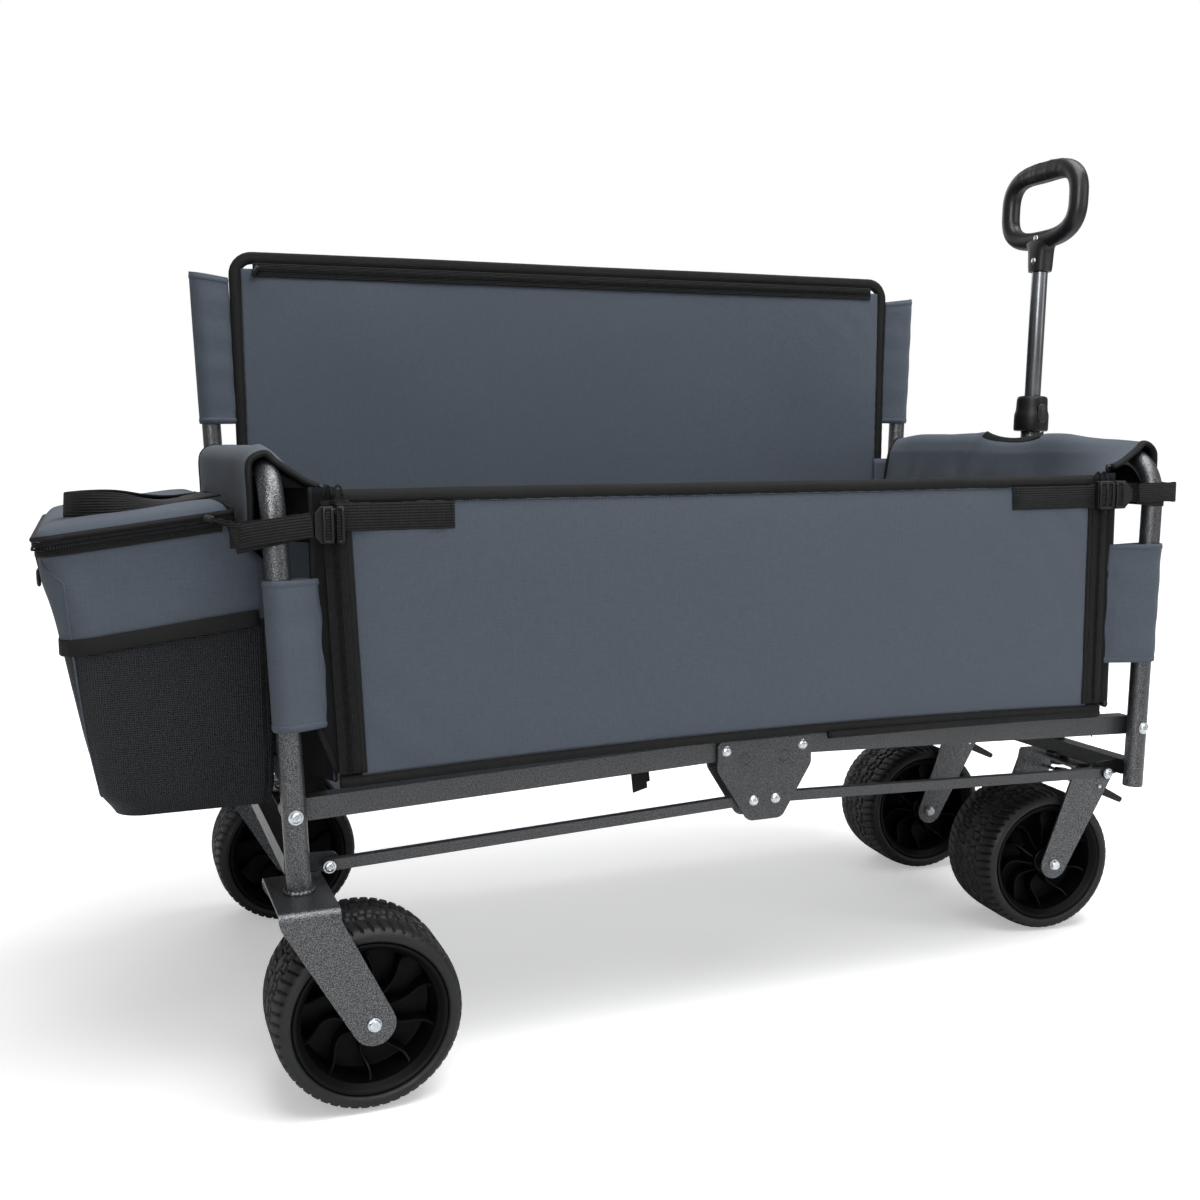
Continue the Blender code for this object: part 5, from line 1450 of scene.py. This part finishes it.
# ------------------------------------------------------------------ straps and buckles
def post_strap(word, end):
    body = word + "_frame"
    x0 = post_x(0.60)
    outer, inner = -0.3105, (-0.2765 if end > 0 else -0.2812)
    reach = 0.5930 if end > 0 else 0.6015
    z, slope = (0.6000, 0.12) if end < 0 else (0.6165, 0.0)
    r = (inner - outer) / 2 - 0.001
    a = np.linspace(-math.pi / 2, math.pi / 2, 14)
    loop = np.concatenate([[(0.5235, outer), (x0 - 0.012, outer - 0.0006), (x0 + 0.006, outer - 0.0008)],
                           np.stack([reach - r + r * np.cos(a),
                                     (outer + inner) / 2 + (r + 0.0005) * np.sin(a)], -1),
                           [(x0, inner), (0.530, inner)]])
    height = z + slope * (0.56 - loop[:, 0]) + 0.0006 * np.sin(np.arange(len(loop)))
    path = spline(route(end * loop[:, 0], loop[:, 1], height), 90)
    loop_piece = strap_piece(word + "_strap_loop", path, 0.0246, 0.0018, "webbing", body, (0, 0, 1))
    replace(loop_piece, word + "_post_strap", slot="webbing")
    # The loose end comes back behind it and is cut square.
    short, drop = (0.002, 0.0020) if end < 0 else (0.026, 0.0055)
    tail = np.array([(0.5240, outer + 0.0034), (x0, outer + 0.0014), (reach - short, outer + 0.0030)])
    height = z - drop + (slope + 0.08) * (0.56 - tail[:, 0])
    strap_piece(word + "_strap_tail", spline(route(end * tail[:, 0], tail[:, 1], height), 30), 0.0246,
                0.0017, "webbing", body, (0, 0, 1))


def buckle_half(x0, x1, z, h, lobe, bars, body):
    """Half of a buckle: a rounded plate, the bars that grip the webbing, and a lobe or none."""
    corners = [(x0, z - h), (x1, z - h), (x1, z + h), (x0, z + h)]
    if lobe > 0:
        corners[2:2] = [(x1 + lobe, z - h * 0.36), (x1 + lobe, z + h * 0.36)]
    elif lobe < 0:
        corners += [(x0 + lobe, z + h * 0.62), (x0 + lobe, z - h * 0.62)]
    parts = [plate("frame", rounded(corners, 0.0030, 6), -0.3112, -0.3046, "plastic", body, 0.0012, 3)]
    t = np.linspace(0, math.pi, 14)
    for k in bars:
        path = route(x0 + (x1 - x0) * k, -0.3124 - 0.0010 * np.sin(t),
                     np.linspace(z - h + 0.0024, z + h - 0.0024, 14))
        parts.append(loft("bar", path, ring(0.0019, 12), "plastic", body, (1, 0, 0)))
    for dz in (-1, 1):
        path = route(np.linspace(x0 + 0.0018, x1 - 0.0018, 12), -0.3120, z + dz * (h - 0.0022))
        parts.append(loft("side", path, ring(0.0020, 12), "plastic", body, (0, 0, 1)))
    xs3 = np.linspace(x0 + 0.001, x1 - 0.001, 16)
    weave = route(xs3, -0.3116 - 0.0008 * np.sin((xs3 - x0) / (x1 - x0) * math.pi), z)
    parts.append(strap_piece("weave", weave, h * 2 - 0.0085, 0.0016, "webbing", body, (0, 0, 1)))
    return parts


def buckle(word, end):
    """A side-release buckle: one half on the strap, the other on the side panel's webbing."""
    body = word + "_frame"
    if end < 0:
        held = buckle_half(-0.5150, -0.5015, 0.6044, 0.0190, -0.0062, (0.22, 0.82), body)
        near_pieces.extend(buckle_half(-0.4994, -0.4905, 0.6044, 0.0190, 0.0, (0.7,), "near_side"))
    else:
        held = buckle_half(0.4840, 0.5010, 0.6148, 0.0178, 0.0115, (0.12, 0.72), body)
        near_pieces.extend(buckle_half(0.4580, 0.4815, 0.6148, 0.0178, 0.0, (0.08, 0.52, 0.92),
                                       "near_side"))
    replace(merge(word + "_buckle_look", held, body), word + "_buckle", slot="black_plastic")


for word, end in ENDS.items():
    post_strap(word, end)
    buckle(word, end)
replace(merge("near_panel_trim", near_pieces[2:], "near_side"), "near_panel", slot="grey_fabric")


# ------------------------------------------------------------------ floor pads
def floor_pad(name, body, length, half_y, place, seed, node_name, margins):
    """A stiff board sewn into cloth over thin foam, with piped edges."""
    n, m = 110, 130
    x = np.linspace(-length / 2, length / 2, n)[:, None] * np.ones(m)
    y = np.linspace(-half_y, half_y, m)[None] * np.ones((n, 1))
    edge = np.minimum(length / 2 - np.abs(x), half_y - np.abs(y))
    full = 1 - np.exp(-edge / 0.010)
    z = 0.0008 + 0.0031 * full + 0.0007 * rumple(np.stack([x, y, 0 * x], -1), seed)
    # Two lines of quilting run along it.
    line = np.abs(np.abs(y) - half_y * 0.45)
    z = z - 0.0018 * np.exp(-(line / 0.004) ** 2) * full
    top = np.stack([x, y, z], -1)
    under = np.stack([x, y, -z + 0.0010], -1)
    objs = [skin(name + "_cloth", moved(grid, place).reshape(n, m, 3), "cloth_back", body, 0.0)
            for grid in (top, under)]
    rim = np.concatenate([top[:, 0], top[-1, 1:], top[::-1, -1][1:], top[0, ::-1][1:-1]]) * [1, 1, 0]
    objs.append(loft(name + "_piping", moved(rim, place)[::2], ring(0.0031, 12), "binding", body,
                     closed=True))
    # The tub's own cloth runs on past the board, to the walls and to the next board; it is coloured dark as
    # painted shade in the seams.
    before, after, side = margins
    x = np.linspace(-length / 2 - before, length / 2 + after, 80)[:, None] * np.ones(50)
    across = np.where(np.abs(x + place.translation.x) > PLATE_CLEAR, side, half_y + 0.002)
    around = moved(route(x, np.linspace(-1, 1, 50)[None] * across, -0.0010), place)
    objs.append(skin(name + "_shade_surround", around.reshape(80, 50, 3), "lining", body, 0.0010, 0.0))
    obj = merge(name, objs, body)
    replace(obj, node_name, slot="grey_fabric")
    return obj


# The tub's cloth stays narrow this near to the middle, to pass between the hinge plates.
PLATE_CLEAR = 0.080
board_ends = {word: [v.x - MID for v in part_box(word + "_floor_board")]
              for word in ("rear", "centre", "front")}
gap = board_ends["centre"][0] - board_ends["rear"][1]
rail_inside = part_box("rear_far_rail")[0].y - 0.0010
for word, body in (("rear", "rear_rails"), ("centre", "centre_link"), ("front", "front_rails")):
    lo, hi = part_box(word + "_floor_board")
    outer = 0.5400 - max(abs(v) for v in board_ends[word])
    inner = 0.5 * gap + 0.0050
    margins = {"rear": (outer, inner), "centre": (inner, inner), "front": (inner, outer)}[word]
    end = ENDS.get(word, 0.0)
    slope = math.atan2(0.3264 - BOLT_Z, HALF_LENGTH - 0.0505) * -end
    length = (hi.x - lo.x) / math.cos(slope) - 0.008 * abs(math.sin(slope)) - 0.006
    centre = Vector(((lo.x + hi.x) / 2 - MID, 0.0, (lo.z + hi.z) / 2))
    floor_pad(word + "_floor_pad", body, length, 0.2515,
              Matrix.Translation(centre) @ Matrix.Rotation(-slope, 4, "Y"), 41 + end, word + "_floor_board",
              (*margins, rail_inside if end else 0.2515))


# ------------------------------------------------------------------ bag
def bag_outer(z):
    return -0.730 - 0.053 * (z - 0.312) / 0.296


def bag_loop(z, n):
    """The bag's outline at a height: a rounded rectangle that swells a little."""
    x_out, x_in = bag_outer(max(z, 0.335)), -0.5600 - 0.0335 * float(smoothstep(z, 0.560, 0.597))
    squeeze = 0.017 * (1 - smoothstep(z, 0.300, 0.334))
    x_out += squeeze * 0.9
    x_in -= squeeze * 0.2
    half = 0.2485 - squeeze * 0.8
    corners = [(x_in, -half), (x_in, half), (x_out, half), (x_out, -half)]
    outline = np.array(rounded(corners, [0.008, 0.008, 0.030, 0.030], 12))
    loop = np.concatenate([outline, outline[:1]])
    return points_at(loop, np.linspace(0, run_along(loop)[-1], n, endpoint=False))


def lid_drop(x):
    """How far the bag's mouth and lid sag towards their outer edge."""
    return 0.024 * np.clip((-0.5935 - x) / 0.191, 0, 1)


def band_height(x):
    """Where the netting's top band lies, round the bag."""
    return 0.484 + 0.023 * np.clip((x + 0.758) / 0.183, 0, 1)


def make_bag():
    """The bag's shell, open at its top, and everything sewn to it."""
    n, nz = 420, 90
    foot, brim = 0.3065, 0.6076
    zs = foot + (brim - foot) * np.linspace(0, 1, nz)
    loops = np.stack([bag_loop(z, n) for z in zs])
    p = np.concatenate([loops, np.broadcast_to(zs[:, None, None], (nz, n, 1))], -1)
    centre = np.array([-0.680, 0.0])
    outward = loops - centre
    tangent = np.roll(loops, -1, 1) - np.roll(loops, 1, 1)
    normal = np.stack([tangent[..., 1], -tangent[..., 0]], -1)
    normal /= np.linalg.norm(normal, axis=-1)[..., None]
    normal *= np.sign((normal * outward).sum(-1))[..., None]
    inner = loops[..., 0] > loops[..., 0].max(axis=1, keepdims=True) - 0.006
    soft = np.where(inner, 0.15, 1.0)
    middle = np.sin((zs - 0.3125) / 0.295 * math.pi)[:, None]
    sideways = np.abs(loops[..., 1]) > 0.24
    fold = rumple(p, 51, 0.08)
    relief = soft * (0.0024 * fold + 0.0030 * middle * np.where(sideways, 0.8, 1.0)
                     + 0.0016 * np.sin(p[..., 2] / 0.019 + 3 * noise(p, 0.07, 55))
                     * np.exp(-(brim - p[..., 2]) / 0.05))
    relief = relief * smoothstep(p[..., 2], foot, 0.330) * (1 - 0.7 * smoothstep(p[..., 2], 0.585, brim))
    p[..., :2] += normal * (relief - 0.0008)[..., None]
    p[..., 2] -= lid_drop(p[..., 0]) * smoothstep(p[..., 2], 0.50, brim)
    faces = grid_faces(nz, n, False, True)
    # The bottom closes over to a flat base.
    base, rows = [], 7
    start = nz * n
    for k in range(1, rows + 1):
        s = 1 - k / rows
        ring_xy = centre + (p[0, :, :2] - centre) * (s if k < rows else 0.02)
        base.append(route(ring_xy[:, 0], ring_xy[:, 1], 0.3058 - 0.0012 * math.sin(k / rows * 3.1)))
    base = np.array(base)
    verts = np.concatenate([p.reshape(-1, 3), base.reshape(-1, 3)])
    all_faces = faces.tolist()
    first = list(range(n))
    for k in range(rows):
        second = list(range(start + k * n, start + (k + 1) * n))
        all_faces += [(first[i], second[i], second[(i + 1) % n], first[(i + 1) % n]) for i in range(n)]
        first = second
    all_faces.append(tuple(first))
    around = np.broadcast_to(np.linspace(0, 1.3, n), (nz, n))
    flat_uv = np.concatenate([np.stack([around, p[..., 2]], -1).reshape(-1, 2),
                              base[..., :2].reshape(-1, 2)])
    shell = add_mesh("bag_shell", verts, all_faces, "cloth", "rear_frame", flat_uv)
    recalc(shell)
    shell.data.materials.append(M["net"])
    shell.data.materials.append(M["lining"])
    for polygon in shell.data.polygons:
        c = polygon.center
        x = c.x - MID
        if c.z < 0.3068:
            polygon.material_index = 2
        elif c.z < band_height(x):
            polygon.material_index = 1
    solid = shell.modifiers.new("thickness", "SOLIDIFY")
    solid.thickness = 0.0022
    solid.offset = -1.0
    solid.material_offset_rim = 0
    # Band over the netting's edge, and a seam tape at its foot.
    trims = []
    keep = np.where(loops[nz // 2, :, 0] < loops[nz // 2, :, 0].max() - 0.003)[0]
    order = np.argsort(np.unwrap(np.arctan2(loops[nz // 2, keep, 1], -(loops[nz // 2, keep, 0] + 0.68))))
    keep = keep[order]
    path, width = [], 0.0170
    for i in keep[::3]:
        z = float(band_height(loops[nz // 2, i, 0]))
        row = int(round((z - foot) / (brim - foot) * (nz - 1)))
        path.append([*(p[row, i, :2] + normal[row, i] * 0.0012), z])
    path = np.array(path)
    trims.append(loft("bag_band", path, band(width, 0.0028), "binding", "rear_frame", (0, 0, 1)))
    trims.append(stitches("bag_thread", path, (0, 0, 1), "rear_frame", 0.30 * width, 0.0014, "webbing"))
    # Piping up the two outer corners, and the mouth's tape with the fixed row of teeth.
    for side in (-1, 1):
        i = int(np.argmin(np.abs(loops[50, :, 0] + 0.765) + np.abs(loops[50, :, 1] - side * 0.245)))
        line = p[6:-2, i] + np.concatenate([normal[6:-2, i], np.zeros((nz - 8, 1))], -1) * 0.0002
        trims.append(loft("bag_seam", line, ring(0.0011, 10), "cloth", "rear_frame"))
    mouth = np.concatenate([p[-4, :, :2] + normal[-4] * 0.0010, np.full((n, 1), 0.6030)], -1)[keep[::3]]
    mouth[:, 2] -= lid_drop(mouth[:, 0])
    trims.append(loft("bag_mouth", mouth, band(0.0085, 0.0026), "zip_tape", "rear_frame", (0, 0, 1)))
    trims.append(small_blocks("bag_teeth", mouth, (0, 0, 1), (0.0014, 0.0026, 0.0017), 0.0027, "zip_metal",
                              "rear_frame", offset=0.0048, lift=0.0012))
    # A webbing tab with its D-ring on the outer face.
    zs2 = np.linspace(0.577, 0.557, 20)
    tab = route(bag_outer(zs2) - 0.0058, -0.17, zs2)
    trims.append(strap_piece("bag_tab", tab, 0.0240, 0.0020, "webbing", "rear_frame", (0, 1, 0)))
    a = np.linspace(0, 2 * math.pi, 40, endpoint=False)
    dz = np.where(np.sin(a) > 0, 0.002 * np.sin(a), 0.013 * np.sin(a))
    d_ring = route(bag_outer(0.556) - 0.0078, -0.17 + 0.0145 * np.cos(a), 0.5560 + dz)
    trims.append(loft("bag_ring", d_ring, ring(0.0020, 10), "plastic", "rear_frame", closed=True))
    trim = merge("bag_trim", trims, "rear_frame")
    replace(shell, "bag_body", slot="grey_fabric")
    replace(trim, "bag_pocket", slot="mesh_fabric")
    return shell, trim


def make_lid():
    """The bag's lid with its zip, piping and carrying loop."""
    n, m = 90, 190
    s = np.linspace(-1, 1, n)[:, None] * np.ones(m)
    t = np.linspace(-1, 1, m)[None] * np.ones((n, 1))
    x0, x1, half = -0.7845, -0.5935, 0.2515
    # A square grid drawn onto a rounded rectangle.
    pull = (1 - 0.045 * (s ** 8 * t ** 8))
    x = (x0 + x1) / 2 + (x1 - x0) / 2 * s * pull
    y = half * t * (1 - 0.020 * (s ** 8 * t ** 8))
    edge = np.minimum((1 - np.abs(s)) * (x1 - x0) / 2, (1 - np.abs(t)) * half)
    dome = 1 - np.exp(-edge / 0.020)
    p3 = np.stack([x, y, 0 * x], -1)
    z = (0.6250 - lid_drop(x) + 0.0062 * dome + 0.0016 * rumple(p3, 61, 0.09) * dome
         - 0.0100 * np.exp(-(edge / 0.0045) ** 1.2))
    top = skin("bag_lid_cloth", np.stack([x, y, z], -1), "cloth", "bag_top", 0.0014, -1.0)
    under = skin("bag_lid_lining", np.stack([x, y, z - 0.004 - 0.003 * dome], -1), "lining", "bag_top",
                 0.0)
    outer, side = x0 + 0.001, half - 0.001
    path2 = np.array(rounded([(x1, -side), (outer, -side), (outer, side), (x1, side)],
                             [0.0, 0.020, 0.020, 0.0], 12))
    path3 = np.column_stack([path2, 0.6095 - lid_drop(path2[:, 0])])
    path3 = points_at(path3, np.linspace(0, run_along(path3)[-1], 240))
    gusset = loft("lid_tape", path3 + [0, 0, 0.0032], band(0.0070, 0.0026), "zip_tape", "bag_top",
                  (0, 0, 1))
    teeth = small_blocks("lid_teeth", path3, (0, 0, 1), (0.0014, 0.0026, 0.0017), 0.0027, "zip_metal",
                         "bag_top", offset=-0.0018, lift=-0.0014)
    piping = loft("lid_piping", path3 + [0, 0, 0.0076], ring(0.0030, 14), "binding", "bag_top")
    hinge_ys = np.linspace(-half + 0.002, half - 0.002, 30)
    hinge = loft("lid_hinge_tape", route(x1 + 0.0006, hinge_ys, 0.6150),
                 band(0.0150, 0.0016), "binding", "bag_top", (0, 0, 1))
    parts = [under, gusset, teeth, piping, hinge]
    parts += puller("lid_pull", (-0.6180, -0.2545, 0.6110), (1.0, -0.15, -0.3), (0, -1, 0), "bag_top",
                    0.026)
    # The carrying loop of webbing lies on the lid, on edge round its bend and flat at its ends.
    points = [(-0.604, -0.118), (-0.640, -0.172), (-0.690, -0.196), (-0.732, -0.188), (-0.751, -0.160),
              (-0.752, -0.130), (-0.736, -0.104), (-0.690, -0.080), (-0.640, -0.072), (-0.602, -0.082)]
    flat_path = spline(points, 170)
    rise = 1 - smoothstep(flat_path[:, 0], -0.752, -0.630)
    lie = 0.6320 - lid_drop(flat_path[:, 0]) + 0.0112 * rise + 0.0008 * np.sin(np.linspace(0, 16, 170))
    path = np.column_stack([flat_path, lie])
    inward = np.array([-0.665, -0.120]) - flat_path
    inward /= np.linalg.norm(inward, axis=1)[:, None]
    across = np.column_stack([inward * (1.08 - rise)[:, None], 0.06 + rise])
    parts.append(loft("lid_handle", path, band(0.0262, 0.0024), "webbing", "bag_top", across))
    trim = merge("bag_lid_trim", parts, "bag_top")
    replace(top, "bag_lid", slot="grey_fabric")
    return top, trim


shell, shell_trim = make_bag()
lid, lid_trim = make_lid()


near_trim = node("near_panel_trim")
back_trim = node("bench_back_trim")
for piece in (near_outer, near_inner, near_trim):
    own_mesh(piece)
for piece in (back_face, back_rear, back_trim):
    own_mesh(piece)


# ------------------------------------------------------------------ studio
def studio():
    """A pale floor, soft light from above and both sides, and the photograph's view."""
    scene = bpy.context.scene
    floor_mesh = bpy.data.meshes.new("floor")
    floor_mesh.from_pydata([(-30, -30, 0), (30, -30, 0), (30, 30, 0), (-30, 30, 0)], [], [(0, 1, 2, 3)])
    floor = bpy.data.objects.new("floor", floor_mesh)
    scene.collection.objects.link(floor)
    m = Nodes("pale_floor")
    # The floor brightens away from the object, so that it meets the background without a line.
    away = m.span(m.vector("LENGTH", m.place()), 0.9, 4.5, 0.38, 0.80)
    away = m.math("MULTIPLY", away, m.add("ShaderNodeLightPath"))
    tone = m.mix(m.noise(3.0, 2.0), (0.92, 0.92, 0.92), (0.94, 0.94, 0.94))
    floor_mesh.materials.append(m.finish(tone, 0.85, Specular_IOR_Level=0.0,
                                         Emission_Color=(1.0, 1.0, 1.0), Emission_Strength=away))
    world = bpy.data.worlds.new("studio")
    scene.world = world
    world.use_nodes = True
    tree = world.node_tree
    tree.nodes["Background"].inputs[0].default_value = (1.0, 1.0, 1.0, 1.0)
    path = tree.nodes.new("ShaderNodeLightPath")
    level = tree.nodes.new("ShaderNodeMapRange")
    level.inputs["To Min"].default_value = 0.32
    level.inputs["To Max"].default_value = 1.0
    tree.links.new(path.outputs["Is Camera Ray"], level.inputs["Value"])
    tree.links.new(level.outputs[0], tree.nodes["Background"].inputs[1])

    def area(name, location, target, size, power, sheen_only=False):
        light = bpy.data.lights.new(name, "AREA")
        light.shape = "RECTANGLE"
        light.size, light.size_y = size
        light.energy = power
        obj = bpy.data.objects.new(name, light)
        scene.collection.objects.link(obj)
        obj.location = location
        obj.rotation_euler = (Vector(target) - Vector(location)).to_track_quat("-Z", "Y").to_euler()
        obj.visible_diffuse = not sheen_only

    area("overhead", (0.5, -0.65, 3.0), (0.0, 0.0, 0.4), (3.4, 2.0), 118)
    area("front", (0.3, -3.6, 2.2), (0.0, 0.0, 0.5), (2.0, 1.6), 9)
    area("left_sheen", (-1.7, -2.9, 2.0), (0.0, 0.0, 0.5), (0.9, 2.2), 78, True)
    area("right", (2.6, -2.4, 1.6), (0.1, 0.0, 0.45), (0.8, 2.0), 17)
    area("behind", (0.4, 3.0, 1.9), (0.0, 0.0, 0.6), (3.0, 1.6), 30)

    yaw, pitch, roll = math.radians(21.201), math.radians(6.763), math.radians(-0.362)
    forward = Vector((math.sin(yaw) * math.cos(pitch), math.cos(yaw) * math.cos(pitch), -math.sin(pitch)))
    right = Vector((math.cos(yaw), -math.sin(yaw), 0.0))
    up = right.cross(forward)
    right, up = (right * math.cos(roll) + up * math.sin(roll), up * math.cos(roll) - right * math.sin(roll))
    turn = Matrix((right, up, -forward)).transposed().to_4x4()
    data = bpy.data.cameras.new("camera")
    data.lens = 39.84
    data.sensor_width = 36.0
    camera = bpy.data.objects.new("camera", data)
    scene.collection.objects.link(camera)
    camera.matrix_world = Matrix.Translation((-0.6665, -1.6473, 0.6848)) @ turn
    scene.camera = camera
    scene.view_settings.view_transform = "Standard"


studio()
